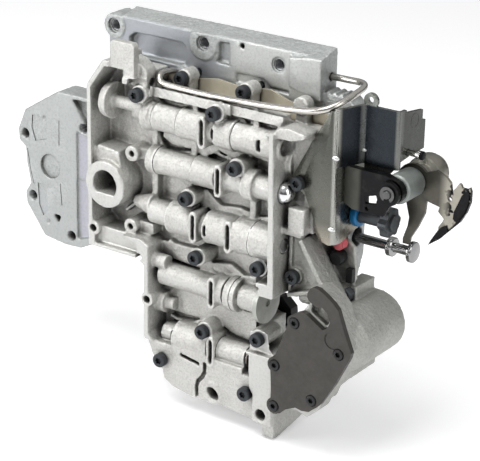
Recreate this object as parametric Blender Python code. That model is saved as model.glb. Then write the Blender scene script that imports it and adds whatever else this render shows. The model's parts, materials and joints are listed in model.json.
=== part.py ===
"""Automatic transmission valve body.

Three castings with a steel plate between them, spool valves in five bore rows,
an accumulator, a feed tube, an adjuster bracket and the levers of the shift linkage.
X runs right along the bores, Y into the depth, Z up. Y = 0 is the case face.
Lengths below are written in millimetres and turned into metres by MM.
"""

import math

import bmesh
import bpy
from mathutils import Matrix, Vector

MM = 0.001

# Depth stack, front to back
CASE_FACE = 0.0
TRANSFER_FRONT = -22.0
BAR_FRONT = -18.0
GAP = 0.3
PLATE_BACK = TRANSFER_FRONT - GAP
PLATE_FRONT = PLATE_BACK - 1.6
CASTING_BACK = PLATE_FRONT - GAP
POCKET_FLOOR = -43.0
BORE_Y = -52.0
RIM_FRONT = -64.0
BOSS_FRONT = -61.0
LAND_FRONT = -63.0
LIP_FRONT = -66.0

# Fits shared by bores, spools and plugs
BORE_R = 5.5
FIT = 0.3
SPOOL_R = BORE_R - FIT
SPOOL_WAIST_R = 3.2
SPRING_LENGTH = 16.0

# Screws
HEAD_R = 5.3
HEAD_HEIGHT = 5.2
SHANK_R = 2.4
SHANK_HOLE_R = SHANK_R + FIT
BOSS_R = 6.9

for old in list(bpy.data.objects):
    bpy.data.objects.remove(old, do_unlink=True)

parts = bpy.data.collections.new("valve_body")
bpy.context.scene.collection.children.link(parts)
tools = bpy.data.collections.new("cutters")
tools.hide_render = True
bpy.context.scene.collection.children.link(tools)

AXIS_TURN = {
    "X": Matrix.Rotation(math.pi / 2, 4, "Y"),
    "Y": Matrix.Rotation(-math.pi / 2, 4, "X"),
    "Z": Matrix.Identity(4),
}


def place(a, b, along, axis):
    """A point from its two plane values and its value along the axis."""
    if axis == "X":
        return Vector((along, a, b)) * MM
    if axis == "Y":
        return Vector((a, along, b)) * MM
    return Vector((a, b, along)) * MM


def group(name):
    """A hidden collection whose shapes are joined to a part, or cut from it."""
    made = bpy.data.collections.new(name)
    made.hide_render = True
    tools.children.link(made)
    return made


def finish(mesh_data, name, into, smooth):
    mesh = bpy.data.meshes.new(name)
    bmesh.ops.recalc_face_normals(mesh_data, faces=mesh_data.faces)
    mesh_data.to_mesh(mesh)
    mesh_data.free()
    if smooth:
        mesh.shade_smooth()
        mesh.set_sharp_from_angle(angle=math.radians(38))
    obj = bpy.data.objects.new(name, mesh)
    into.objects.link(obj)
    if into is not parts:
        obj.hide_render = True
        obj.display_type = "WIRE"
    return obj


def prism(name, outline, axis, start, end, into):
    """A closed outline pulled along an axis."""
    shape = bmesh.new()
    ring = [shape.verts.new(place(a, b, start, axis)) for a, b in outline]
    face = shape.faces.new(ring)
    pulled = bmesh.ops.extrude_face_region(shape, geom=[face])
    moved = [item for item in pulled["geom"] if isinstance(item, bmesh.types.BMVert)]
    step = place(0, 0, end - start, axis)
    bmesh.ops.translate(shape, verts=moved, vec=step)
    return finish(shape, name, into, False)


def block(name, x, y, z, into):
    """A box from its three ranges."""
    outline = [(x[0], z[0]), (x[1], z[0]), (x[1], z[1]), (x[0], z[1])]
    return prism(name, outline, "Y", y[0], y[1], into)


def rod(name, axis, centre, radius, start, end, into, sides=24, end_radius=None):
    """A cylinder, or a cone where the end radius differs."""
    shape = bmesh.new()
    bmesh.ops.create_cone(
        shape,
        cap_ends=True,
        segments=sides,
        radius1=radius * MM,
        radius2=(radius if end_radius is None else end_radius) * MM,
        depth=(end - start) * MM,
    )
    middle = place(centre[0], centre[1], (start + end) / 2, axis)
    bmesh.ops.transform(shape, matrix=Matrix.Translation(middle) @ AXIS_TURN[axis], verts=shape.verts)
    return finish(shape, name, into, True)


def turned(name, axis, centre, profile, into, sides=24, closed=False):
    """A turned shape. The profile lists (along the axis, radius)."""
    shape = bmesh.new()
    points = [shape.verts.new((radius * MM, 0, along * MM)) for along, radius in profile]
    pairs = list(zip(points, points[1:]))
    if closed:
        pairs.append((points[-1], points[0]))
    edges = [shape.edges.new(pair) for pair in pairs]
    bmesh.ops.spin(
        shape,
        geom=points + edges,
        cent=(0, 0, 0),
        axis=(0, 0, 1),
        angle=2 * math.pi,
        steps=sides,
        use_merge=True,
    )
    bmesh.ops.remove_doubles(shape, verts=shape.verts, dist=1e-6)
    where = place(centre[0], centre[1], 0, axis)
    bmesh.ops.transform(shape, matrix=Matrix.Translation(where) @ AXIS_TURN[axis], verts=shape.verts)
    return finish(shape, name, into, True)


def arc(centre, radius, first, last, count):
    """Points along an arc, in degrees."""
    found = []
    for step in range(count + 1):
        angle = math.radians(first + (last - first) * step / count)
        found.append((centre[0] + radius * math.cos(angle), centre[1] + radius * math.sin(angle)))
    return found


def stadium(centre, width, height, count=6):
    """An upright slot outline with round ends."""
    half = (height - width) / 2
    top = arc((centre[0], centre[1] + half), width / 2, 0, 180, count)
    bottom = arc((centre[0], centre[1] - half), width / 2, 180, 360, count)
    return top + bottom


def strip(points, thickness):
    """The outline of a bent strip of even thickness."""
    left = []
    right = []
    for index, point in enumerate(points):
        here = Vector(point)
        before = Vector(points[max(index - 1, 0)])
        after = Vector(points[min(index + 1, len(points) - 1)])
        first = (here - before).normalized() if index else (after - here).normalized()
        second = (after - here).normalized() if index < len(points) - 1 else first
        along = (first + second).normalized()
        side = Vector((-along.y, along.x))
        reach = thickness / 2 / max(side.dot(Vector((-first.y, first.x))), 0.4)
        left.append(tuple(here + side * reach))
        right.append(tuple(here - side * reach))
    return left + right[::-1]


def boolean(obj, operation, collection):
    made = obj.modifiers.new(collection.name, "BOOLEAN")
    made.operation = operation
    made.operand_type = "COLLECTION"
    made.collection = collection
    made.solver = "EXACT"


def join(obj, collection):
    boolean(obj, "UNION", collection)


def cut(obj, collection):
    boolean(obj, "DIFFERENCE", collection)


def material(obj, name, colour, metallic, roughness):
    made = bpy.data.materials.new(name)
    made.use_nodes = True
    shader = made.node_tree.nodes["Principled BSDF"]
    shader.inputs["Base Color"].default_value = (*colour, 1.0)
    shader.inputs["Metallic"].default_value = metallic
    shader.inputs["Roughness"].default_value = roughness
    obj.data.materials.clear()
    obj.data.materials.append(made)


def set_origin(obj, x, y, z):
    """Moves the object's own origin, leaving its shape where it is."""
    point = Vector((x, y, z)) * MM
    obj.data.transform(Matrix.Translation(-point))
    obj.location = point


# Bore rows: height, barrel steps (start, end, radius), tall slots, small ports
ROWS = [
    {
        "z": 51.0,
        "core": (-46.0, 69.0, 9.3),
        "steps": [
            (-47, -42, 11.5),
            (-42.2, -15.5, 10.2),
            (-15.7, 3.5, 11.3),
            (15.5, 31, 11.3),
            (30.8, 69, 10.5),
        ],
        "slots": [7.2],
        "ports": [15.2, 54.7],
        "bore": (-38.0, 77.0),
        "spool_end": 59.7,
    },
    {
        "z": 18.0,
        "core": (-42.0, 69.0, 8.2),
        "steps": [
            (-43.5, -34.4, 10.4),
            (-34.6, -1.9, 9.7),
            (-2.1, 17, 10.8),
            (21, 42.2, 8.8),
            (42, 50, 12),
            (49.8, 69, 8.7),
        ],
        "slots": [21.8],
        "ports": [],
        "bore": (-38.0, 76.0),
        "spool_end": 61.7,
    },
    {
        "z": -22.0,
        "core": (-42.0, 69.0, 8.4),
        "steps": [(-43, -23.2, 9.25), (-23.4, -4, 12.5), (9, 28.5, 12.4), (35, 69, 13.5)],
        "slots": [0.2, 31.1],
        "ports": [10.2],
        "bore": (-38.0, 78.0),
        "spool_end": 65.7,
    },
    {
        "z": -69.0,
        "core": (-33.0, 56.0, 8.3),
        "steps": [(-34, 13, 9.1), (20, 25.5, 11.2), (27.5, 37, 12.7), (38.5, 56, 9.6)],
        "slots": [17.1],
        "ports": [],
        "bore": (-30.0, 62.0),
        "spool_end": 49.7,
    },
    {
        "z": -115.5,
        "core": (-31.7, 45.0, 7.0),
        "steps": [(-18.5, 12.5, 11.6), (19, 45, 8.9)],
        "slots": [17.1],
        "ports": [-21.0],
        "bore": (-27.0, 52.0),
        "spool_end": 44.4,
    },
]

SLOT_WIDTH = 3.0
SLOT_HEIGHT = 20.0
RIM_WIDTH = 6.6
RIM_HEIGHT = 25.0

# Front screws of the main casting: X, Z of those standing on bosses
FRONT_SCREWS = [
    (-50.4, 67.3),
    (17.7, 67.1),
    (36.2, 30.8),
    (-6.2, -1.5),
    (3.0, -44.7),
    (57.4, -39.1),
    (9.9, -101.3),
    (58.7, -93.7),
    (-27.0, -134.0),
    (50.0, -138.5),
]
UPPER_SCREWS = [(-29.1, 77.8), (25.2, 78.0)]
SIDE_SCREW = (79.7, -43.5)
BRACKET_SCREW = (81.5, 27.0)
UPPER_BOSS_FRONT = -36.0


def through_bolt(x, z):
    """Screws that reach the transfer plate. The rest end in the main casting."""
    return not (x > 50 and z < -80) and not (0 < x < 20 and 60 < z < 70)



# Main casting
CASTING_OUTLINE = [
    (-95, -57.5),
    (-94.5, 68),
    (-79.5, 88.5),
    (-73.6, 88.5),
    (-73.6, 102.4),
    (-71.4, 104.4),
    (-54, 104.4),
    (-52, 102.2),
    (-52, 79),
    (66, 79),
    (70, 76),
    (70, 62),
    (73, -58),
    (60.6, -58.6),
    (60.6, -51.5),
    (47.2, -51.5),
    (47.2, -86),
    (66, -88),
    (68, -100),
    (73.5, -105),
    (73.5, -158.2),
    (66.6, -158.5),
    (48.6, -157.8),
    (29, -156.2),
    (3.2, -157.5),
    (-6.8, -156.2),
    (-18.2, -154),
    (-25.9, -149.6),
    (-27, -143),
    (-36.5, -132.6),
    (-42.5, -118),
    (-42.5, -61),
    (-50, -57.5),
]
casting = prism("valve_body_casting", CASTING_OUTLINE, "Y", LIP_FRONT, CASTING_BACK, parts)
hollow = group("casting_hollow")
POCKET = [
    (-91, -42),
    (-91, 66.5),
    (-78, 84),
    (-62, 84),
    (-62, 74.5),
    (-43, 74.5),
    (-43, 66),
    (66, 66),
    (66, 62),
    (67.5, -48.3),
    (58, -48.3),
    (58, -86.6),
    (50.4, -90),
    (50, -121),
    (-34, -121),
    (-38.5, -115),
    (-38.5, -46),
    (-46, -42),
]
prism("pocket", POCKET, "Y", LIP_FRONT - 4, POCKET_FLOOR, hollow)
block("top_pocket", (-37, 62), (LIP_FRONT - 4, -57), (60, 84), hollow)
block("pad_under", (-57, -36), (LIP_FRONT - 4, -57), (58, 78.8), hollow)
block("right_wall_top", (61, 76), (LIP_FRONT - 4, -57), (63.4, 84), hollow)
prism(
    "top_slope",
    [(-58, 92), (-58, 74.5), (-42, 67.6), (-20, 58), (-20, 92)],
    "X",
    -51.8,
    80,
    hollow,
)
block("pad_face", (-74, -44), (LIP_FRONT - 4, -64.2), (79, 106), hollow)
block("pad_back", (-76, -40), (-58, -20), (80, 110), hollow)
block("low_boss_face", (50, 76), (LIP_FRONT - 4, BOSS_FRONT + 0.2), (-104, -87), hollow)
block("land_face", (-60, 57), (LIP_FRONT - 4, LAND_FRONT), (-162, -120.4), hollow)
prism(
    "step_land",
    [(-89, -55), (-89, -42), (-80, -36), (-49, -47), (-49, -55)],
    "Y",
    LIP_FRONT - 4,
    -60.5,
    hollow,
)
block("lower_right_relief", (57.2, 80), (-60.5, -20), (-103, -62), hollow)
cut(casting, hollow)

raised = group("casting_raised")
for index, row in enumerate(ROWS):
    label = f"row_{index + 1}"
    x0, x1, radius = row["core"]
    rod(f"{label}_core", "X", (BORE_Y, row["z"]), radius, x0, x1, raised, 12)
    block(
        f"{label}_root",
        (x0 + 0.7, x1 - 0.7),
        (BORE_Y, POCKET_FLOOR + 2),
        (row["z"] - radius + 0.6, row["z"] + radius - 0.6),
        raised,
    )
    for number, (start, end, barrel) in enumerate(row["steps"]):
        rod(f"{label}_barrel_{number}", "X", (BORE_Y, row["z"]), barrel, start, end, raised, 18)
    for number, x in enumerate(row["slots"]):
        prism(
            f"{label}_rim_{number}",
            stadium((x, row["z"]), RIM_WIDTH, RIM_HEIGHT, 3),
            "Y",
            RIM_FRONT,
            POCKET_FLOOR + 1.5,
            raised,
        )
rod("cone_1", "X", (BORE_Y, 51), 5, -60, -46.5, raised, 20, 9.5)
rod("neck_1", "X", (-55, 56), 4.6, -78, -46, raised, 16)
rod("mushroom", "X", (-54, 56), 13.0, -83.5, -77, raised, 24, 13.8)
rod("cone_3", "X", (BORE_Y, -18), 4, -60, -42.5, raised, 20, 8.6)
rod("small_barrel", "X", (-56, -58.5), 5.6, -40.5, -27, raised, 16)
rod("socket", "X", (-50, -93), 8.5, -38, -31, raised, 20)
rod("socket_lip", "X", (-50, -93), 5, -32, -24, raised, 16)
for index, (x, z) in enumerate(FRONT_SCREWS):
    rod(f"boss_{index}", "Y", (x, z), BOSS_R, BOSS_FRONT, POCKET_FLOOR + 2, raised, 12)
for index, (x, z) in enumerate(UPPER_SCREWS):
    rod(f"upper_boss_{index}", "Y", (x, z), 6.2, UPPER_BOSS_FRONT, CASTING_BACK, raised, 16)
    block(f"upper_web_{index}", (x - 5, x + 5), (UPPER_BOSS_FRONT + 1, CASTING_BACK), (58, z), raised)
PAD_LUG = [(-60, 72), (-60, 92.6), (-53, 90.6), (-46.5, 85.5), (-45.2, 83), (-45.2, 72)]
prism("pad_lug", PAD_LUG, "Y", -58.3, -46, raised)
rod("upper_dome", "Y", (69.5, 75.3), 6.4, -33, CASTING_BACK, raised, 16)
block("upper_dome_web", (64.8, 74.1), (-31.4, CASTING_BACK), (58, 75), raised)
D_CENTRE = (-78.0, -6.0)
rod("d_boss", "Y", D_CENTRE, 18, LIP_FRONT - 1, POCKET_FLOOR + 1.5, raised, 28)
prism("d_pad", [(-92, 6), (-92, 19), (-87, 22), (-69, 20), (-66, 6)], "Y", -62, POCKET_FLOOR + 1.2, raised)
SMALL_BOSSES = [(-58.3, 20.2), (-59.7, -36.7)]
for index, (x, z) in enumerate(SMALL_BOSSES):
    rod(f"small_boss_{index}", "Y", (x, z), 6, -60, POCKET_FLOOR + 1.4, raised, 14)
    block(f"small_arm_{index}", (x, x + 17), (-54, POCKET_FLOOR + 1.1), (z - 4.5, z + 4), raised)
rod("lip_boss", "Y", (-90.5, -43.5), 5.6, LIP_FRONT + 0.3, POCKET_FLOOR + 1.3, raised, 18)
rod("wall_boss", "Y", (-40.1, -88.3), 5.5, LIP_FRONT + 0.3, POCKET_FLOOR + 1.3, raised, 18)
prism(
    "corner_land",
    [(-93, -55.5), (-93, -43), (-60, -43), (-44, -50), (-43, -46), (-40, -46), (-40, -59), (-50, -56)],
    "Y",
    -60.8,
    POCKET_FLOOR + 1.6,
    raised,
)
RIBS = [
    (-44.0, 20, 50),
    (-44.0, -22, 16),
    (-8.6, 20, 48),
    (-8.6, 53, 71),
    (43.0, 53, 71),
    (43.5, -22, 16),
]
for index, (x, low, high) in enumerate(RIBS):
    block(f"rib_{index}", (x - 2.6, x + 2.6), (-50.5, POCKET_FLOOR + 1.2), (low, high), raised)
prism(
    "ledge_a",
    [
        (-37, 35),
        (-30, 31),
        (-10, 31),
        (0, 27),
        (12, 35),
        (26, 32),
        (36, 38),
        (67.5, 34),
        (67.5, 39),
        (30, 43),
        (-37, 40),
    ],
    "Y",
    -49,
    POCKET_FLOOR + 1.1,
    raised,
)
prism(
    "ledge_b",
    [
        (-20, -3),
        (-12, 4),
        (2, 3),
        (14, -6),
        (30, -4),
        (48, -7),
        (67.5, -4),
        (67.5, -9),
        (30, -10),
        (-20, -10),
    ],
    "Y",
    -48.5,
    POCKET_FLOOR + 0.9,
    raised,
)
prism(
    "ledge_c",
    [
        (-38, -46),
        (-10, -45),
        (8, -52),
        (24, -49),
        (36, -55),
        (46.4, -53),
        (46.4, -60),
        (30, -61),
        (-38, -58),
    ],
    "Y",
    -48.8,
    POCKET_FLOOR + 1.0,
    raised,
)
prism(
    "shelf_d",
    [
        (-37, -79),
        (12, -82),
        (25, -84),
        (46.3, -82),
        (46.3, -106),
        (25, -104),
        (14, -99),
        (-16, -101),
        (-37, -100),
    ],
    "Y",
    -47,
    POCKET_FLOOR + 0.8,
    raised,
)
prism("step_block", [(-34, 41), (-20, 43), (-20, 29), (-34, 31)], "Y", -46, POCKET_FLOOR + 0.7, raised)
prism(
    "pad_e",
    [(53.6, -107), (72.2, -105.6), (72.2, -137), (56.5, -136), (53.6, -131)],
    "Y",
    LIP_FRONT - 0.08,
    -50,
    raised,
)
block("flange", (68, 92), (-46.7, CASTING_BACK), (-10, 62.5), raised)
SHELF_TOP = [
    (61, 59.4),
    (83, 60.6),
    (92, 63.4),
    (93.5, 65.6),
    (92.2, 67),
    (80.3, 69),
    (73.4, 68.1),
    (66.6, 62.8),
    (61, 62.3),
]
prism("shelf_top", SHELF_TOP, "Y", -63.2, -45, raised)
block("shelf_low", (70, 88), (-55.4, -45), (-11.5, -7), raised)
block("square_block", (77, 90), (-56, -42), (-9, 9.5), raised)
rod("side_barrel", "X", (-36, 38), 10.6, 69, 86, raised, 24)
rod("side_barrel_ring", "X", (-38, 38), 13, 69, 74.4, raised, 24)
rod("side_mouth", "X", (BORE_Y, 51), 9.2, 66, 71.6, raised, 24)
prism(
    "foot",
    [
        (-63.5, -148),
        (-63.5, -168.5),
        (-58, -169.8),
        (CASTING_BACK, -164.5),
        (CASTING_BACK, -160),
        (-44, -148),
    ],
    "X",
    64.5,
    74.2,
    raised,
)
BOTTOM_BOSS = (19.9, -148.6)
rod("bottom_boss_a", "Y", BOTTOM_BOSS, 8.6, -63.9, -40, raised, 24)
rod("bottom_boss_b", "Y", (64.5, -151), 7.6, LIP_FRONT - 0.5, -40, raised, 24)
join(casting, raised)

drilled = group("casting_drilled")
for index, row in enumerate(ROWS):
    label = f"row_{index + 1}"
    x0, x1 = row["bore"]
    rod(f"{label}_bore", "X", (BORE_Y, row["z"]), BORE_R, x0, x1, drilled, 12)
    for number, x in enumerate(row["slots"]):
        prism(
            f"{label}_slot_{number}",
            stadium((x, row["z"]), SLOT_WIDTH, SLOT_HEIGHT, 2),
            "Y",
            LIP_FRONT,
            BORE_Y,
            drilled,
        )
    for number, x in enumerate(row["ports"]):
        block(
            f"{label}_port_{number}",
            (x - 1.7, x + 1.7),
            (LIP_FRONT - 2, BORE_Y),
            (row["z"] - 4.2, row["z"] + 4.2),
            drilled,
        )
for index, (x, z) in enumerate(FRONT_SCREWS + UPPER_SCREWS):
    hole_start = -50 if (x, z) in UPPER_SCREWS else -70
    hole_end = -20 if through_bolt(x, z) else -40
    rod(f"screw_hole_{index}", "Y", (x, z), SHANK_HOLE_R, hole_start, hole_end, drilled, 8)
D_BORE_R = 11.0
D_OUTLINE = [(D_CENTRE[0] + x, D_CENTRE[1] + z) for x, z in arc((0, 0), D_BORE_R, -40, 220, 16)]
D_OUTLINE += [(D_CENTRE[0] + x, D_CENTRE[1] + z) for x, z in [(-3.5, -7.0), (3.5, -7.0)]]
prism("d_bore", D_OUTLINE, "Y", -72, -28, drilled)
rod("lip_hole", "Y", (-90.5, -43.5), 2.9, -70, -20, drilled, 16)
rod("wall_hole", "Y", (-40.1, -88.3), 3.0, -70, -50, drilled, 16)
rod("notch_hole", "Y", (-47.5, -56), 2.9, -70, -20, drilled, 16)
for index, (x, z) in enumerate(SMALL_BOSSES):
    rod(f"small_hole_{index}", "Y", (x, z), 2.4, -64, -46, drilled, 16)
OVAL = [
    (3.5, -4.6),
    (5.2, -3),
    (5.2, 0),
    (3, 3),
    (0, 4.6),
    (-3.6, 4.6),
    (-5.2, 3),
    (-5.2, 0),
    (-3, -3),
    (0, -4.6),
]
prism(
    "oval_hole",
    [(BOTTOM_BOSS[0] + x, BOTTOM_BOSS[1] + z) for x, z in OVAL],
    "Y",
    -68,
    -44,
    drilled,
)
rod("round_hole", "Y", (64.5, -151), 4.4, -70, -20, drilled, 20)
prism("flat_slot", [(-11, -124.4), (7, -127.3), (7, -130.2), (-11, -127.3)], "Y", -70, -55, drilled)
S_GROOVE = strip([(11.8, -126), (11.8, -134), (9.8, -138), (5.6, -143), (4.6, -148), (5.4, -161)], 3.2)
prism("s_groove", S_GROOVE, "Y", -70, -58.5, drilled)
block("row_5_mouth", (45.3, 53.2), (-70, -43), (-125.5, -106), drilled)
rod("row_1_mouth", "X", (BORE_Y, 51), 6.4, 65.5, 75, drilled, 16)
rod("side_barrel_bore", "X", (-38, 38), 4, 78, 96, drilled, 12)
rod("flange_hole", "Y", BRACKET_SCREW, SHANK_HOLE_R, -60, -20, drilled, 16)
rod("row_2_seat", "X", (BORE_Y, 18), 8.3, 70, 84, drilled, 20)
rod("mushroom_hollow", "X", (-54, 56), 3, -86, -80, drilled, 12)
rod("tube_relief", "X", (-51, 75.1), 3.3, -50, 70, drilled, 16)
cut(casting, drilled)
material(casting, "cast_aluminium_main", (0.60, 0.60, 0.57), 0.75, 0.48)


# Separator plate
RIGHT_EDGE = 100.0
PLATE_OUTLINE = [
    (-108, -60),
    (-112, -40),
    (-112, 36),
    (-108, 70),
    (-60, 73),
    (-44, 76),
    (-30, 74),
    (-8, 78),
    (14, 76),
    (38, 79),
    (60, 72),
    (72, 74),
    (RIGHT_EDGE, 66),
    (RIGHT_EDGE, -60),
    (42, -62),
    (42, -112),
    (56, -116),
    (60, -150),
    (8, -150),
    (-12, -138),
    (-35, -129),
    (-41, -116),
    (-41, -62),
    (-60, -60),
]
plate = prism("separator_plate", PLATE_OUTLINE, "Y", PLATE_FRONT, PLATE_BACK, parts)
plate_holes = group("plate_holes")
for index, (x, z) in enumerate(FRONT_SCREWS + UPPER_SCREWS):
    if z > -130 and through_bolt(x, z):
        rod(f"plate_hole_{index}", "Y", (x, z), SHANK_HOLE_R, -30, -20, plate_holes, 8)
for index, (x, z) in enumerate([(-27, -134), (50, -138.5)]):
    rod(f"plate_low_hole_{index}", "Y", (x, z), 2.8, -30, -20, plate_holes, 12)
for index, (x, z) in enumerate([(-90.5, -43.5), (-47.5, -56), BRACKET_SCREW, SIDE_SCREW]):
    rod(f"plate_side_hole_{index}", "Y", (x, z), SHANK_HOLE_R, -30, -20, plate_holes, 12)
cut(plate, plate_holes)
material(plate, "separator_steel", (0.58, 0.52, 0.40), 0.85, 0.38)


# Transfer plate
TRANSFER_OUTLINE = [
    (-161, 38),
    (-195, 17),
    (-202.5, 0),
    (-202, -9),
    (-195.4, -14),
    (-194.5, -27),
    (-191, -43),
    (-196.5, -52),
    (-195.6, -61),
    (-177.4, -85),
    (-157.5, -87.5),
    (-141, -87),
    (-129.6, -81.4),
    (-113, -63),
    (-44, -62),
    (-44, -118),
    (-38, -131),
    (-12, -140),
    (8, -152),
    (60, -152),
    (58, -116),
    (30, -112),
    (30, -62),
    (100, -62),
    (106, -34),
    (106, -4),
    (101, 40),
    (101, 66),
    (72, 71),
    (-108, 71),
    (-112, 38),
]
transfer = prism("transfer_plate", TRANSFER_OUTLINE, "Y", TRANSFER_FRONT, CASE_FACE, parts)
bar = group("transfer_raised")
block("top_bar", (-100, 78), (BAR_FRONT, CASE_FACE), (60, 113), bar)
block("stop_arm", (34, 41.5), (-12, -4.5), (-118, -58), bar)
rod("bar_end", "Y", (-106.6, 99.4), 9.5, BAR_FRONT - 1.2, CASE_FACE, bar, 24)
block("bar_end_root", (-112, -96), (BAR_FRONT, CASE_FACE), (60, 99.4), bar)
rod("bar_middle_boss", "Y", (-24.9, 100), 12, BAR_FRONT - 1.2, CASE_FACE, bar, 24)
prism(
    "bar_tab",
    [(51.5, 83.2), (78.4, 77.2), (78.4, 109), (51.5, 104.4)],
    "Y",
    BAR_FRONT - 4,
    BAR_FRONT + 6,
    bar,
)
prism(
    "side_cast",
    [(77, 67), (98, 66), (104, 70), (104, 78), (98, 82.4), (77, 83)],
    "Y",
    BAR_FRONT + 0.4,
    -2,
    bar,
)
for index in range(4):
    block(f"side_rib_{index}", (80 + 5.6 * index, 82.4 + 5.6 * index), (-17, -3), (78, 84.6), bar)
rod("bar_foot_a", "Y", (-41.3, 71.6), 8, TRANSFER_FRONT, CASE_FACE, bar, 20)
rod("bar_foot_b", "Y", (13.9, 71.9), 8, TRANSFER_FRONT, CASE_FACE, bar, 20)
join(transfer, bar)
bar_cuts = group("transfer_cuts")
WING_HOLES = [(-195.6, -2.8, 2.9), (-135.9, 13.1, 3.0), (-189.0, -53.3, 2.9), (-149.6, -78.7, 3.9)]
for index, (x, z, radius) in enumerate(WING_HOLES):
    rod(f"wing_hole_{index}", "Y", (x, z), radius, -30, 6, bar_cuts, 12)
rod("wing_disc", "Y", (-170.3, -25.1), 10, -30, TRANSFER_FRONT + 1.6, bar_cuts, 28)
prism("wing_slot", [(-168.5, -64), (-160, -64.5), (-163, -71)], "Y", -30, -8, bar_cuts)
rod("wing_dimple_a", "Y", (-175, 14), 2, -30, TRANSFER_FRONT + 1.5, bar_cuts, 12)
rod("wing_dimple_b", "Y", (-173, -72), 2, -30, TRANSFER_FRONT + 1.5, bar_cuts, 12)
prism(
    "wing_channel_a",
    [(-143, -30), (-143, 10), (-131, 6), (-131, -30)],
    "Y",
    -30,
    TRANSFER_FRONT + 2.4,
    bar_cuts,
)
prism(
    "wing_channel_b",
    [(-143.6, -80), (-143.6, -29.7), (-130.4, -29.7), (-130.4, -76)],
    "Y",
    -30,
    TRANSFER_FRONT + 3.2,
    bar_cuts,
)
prism(
    "wing_corner",
    [(-147, 35), (-132.6, 14), (-128, 14), (-128, 35)],
    "Y",
    -30,
    TRANSFER_FRONT + 6,
    bar_cuts,
)
prism(
    "bar_pocket",
    [(-93, 79.5), (-93, 93), (-88, 97), (-44, 97), (-41, 94), (-41, 83), (-46, 79.5)],
    "Y",
    -26,
    BAR_FRONT + 6,
    bar_cuts,
)
prism(
    "bar_small_pocket",
    [(-14, 88), (-11.6, 92), (-11.3, 103.6), (-2.1, 104), (-1.8, 87.4)],
    "Y",
    -26,
    BAR_FRONT + 4,
    bar_cuts,
)
prism("bar_top_slope", [(-27, 105.7), (3, 112.3), (3, 122), (-27, 122)], "X", -120, 90, bar_cuts)
prism(
    "bar_step",
    [(4, 76), (4, 84), (28, 84), (34, 79), (50, 79), (50, 76)],
    "Y",
    -26,
    BAR_FRONT + 1.5,
    bar_cuts,
)
for index, (x, z) in enumerate([(-106.6, 99.4), (-24.9, 100), (40.3, 96)]):
    rod(f"bar_hole_{index}", "Y", (x, z), 3.5, -30, 6, bar_cuts, 14)
    rod(f"bar_bore_{index}", "Y", (x, z), 5.5, -30, BAR_FRONT + 1, bar_cuts, 18)
rod("bar_pin_hole", "Y", (9, 104), 2, -30, -10, bar_cuts, 12)
TUBE_R = 2.4
rod("tube_hole", "X", (-7, 92.2), TUBE_R + FIT, 70, 82, bar_cuts, 20)
MANUAL_Y = -10.0
MANUAL_Z = -20.0
MANUAL_BORE_R = 7.0
rod("manual_bore", "X", (MANUAL_Y, MANUAL_Z), MANUAL_BORE_R, 30, 112, bar_cuts, 28)
for index, (x, z) in enumerate(FRONT_SCREWS + UPPER_SCREWS):
    if through_bolt(x, z):
        rod(f"thread_{index}", "Y", (x, z), SHANK_HOLE_R, -30, -10.5, bar_cuts, 8)
for index, (x, z) in enumerate([BRACKET_SCREW, SIDE_SCREW]):
    rod(f"side_thread_{index}", "Y", (x, z), SHANK_HOLE_R, -30, -10.5, bar_cuts, 12)
for index, x in enumerate([-84, -44, 6]):
    block(f"rear_channel_{index}", (x, x + 26), (-6, 4), (-45, 55), bar_cuts)
cut(transfer, bar_cuts)
material(transfer, "cast_aluminium_transfer", (0.62, 0.64, 0.64), 0.7, 0.42)


# Accumulator: housing, cover, piston, spring
COVER_FRONT = -70.5
COVER_BACK = -66.3
COVER_OUTLINE = [
    (104.4, -45.5),
    (104.7, -42.2),
    (106.6, -38.9),
    (109.6, -37.2),
    (113.6, -37.5),
    (119.9, -40.9),
    (126.1, -45.3),
    (129.8, -48.9),
    (134.9, -62.3),
    (141.6, -78.2),
    (140.3, -83.3),
    (128.7, -106.8),
    (118, -124.6),
    (108.9, -132.8),
    (102.7, -133.8),
    (97.5, -132.9),
    (89.3, -136.9),
    (84.2, -141.7),
    (78.4, -142.4),
    (75.2, -140.2),
    (75.9, -134.1),
    (76.6, -127.4),
    (75.3, -107.9),
    (79.2, -97.2),
    (90.3, -67.5),
    (92.2, -63.6),
    (96, -60),
    (100.6, -57.9),
    (104.2, -58.8),
    (111.6, -63.3),
    (118.1, -67.1),
    (121.8, -64.2),
    (123.7, -59.9),
    (121.4, -54),
    (117.2, -50.2),
    (110.6, -50.8),
    (106, -48),
]
COVER_SCREWS = [(94.6, -68.1), (79, -105), (79, -137.2), (110.6, -123.3), (131.5, -81.6)]
ACC_AXIS = (121.0, -81.5)
ACC_R = 22.8
ACC_WALL = 9.0
ACC_BORE_R = ACC_R - ACC_WALL
PISTON_R = ACC_BORE_R - FIT
PISTON_SPIGOT_R = ACC_BORE_R - 7.8
ACC_TOP_ROOT = ACC_AXIS[1] + ACC_R - 8
housing = rod("accumulator_housing", "Y", ACC_AXIS, ACC_R, -50, -1, parts, 40)
shell = group("housing_raised")
rod("housing_front", "Y", ACC_AXIS, ACC_R - 4.2, -62, -49.4, shell, 40, ACC_R - 0.06)
FLANGE_OUTLINE = [
    (105.6, -43.4),
    (108, -39.4),
    (113.2, -38.6),
    (119.2, -42),
    (125.2, -46.4),
    (128.8, -50),
    (133.8, -62.8),
    (140.4, -78.2),
    (139.2, -83),
    (127.7, -106.3),
    (118.4, -121.6),
    (113.5, -132.4),
    (104, -140.8),
    (97, -138),
    (89.3, -138.4),
    (84, -140.8),
    (78.8, -141.2),
    (76.4, -139.4),
    (77.2, -134),
    (77.9, -127.2),
    (76.6, -108),
    (80.4, -97.4),
    (91.4, -67.8),
    (93.4, -64.2),
    (99, -58.6),
    (105, -50.4),
]
prism("cover_flange", FLANGE_OUTLINE, "Y", -66, -50.6, shell)
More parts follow.
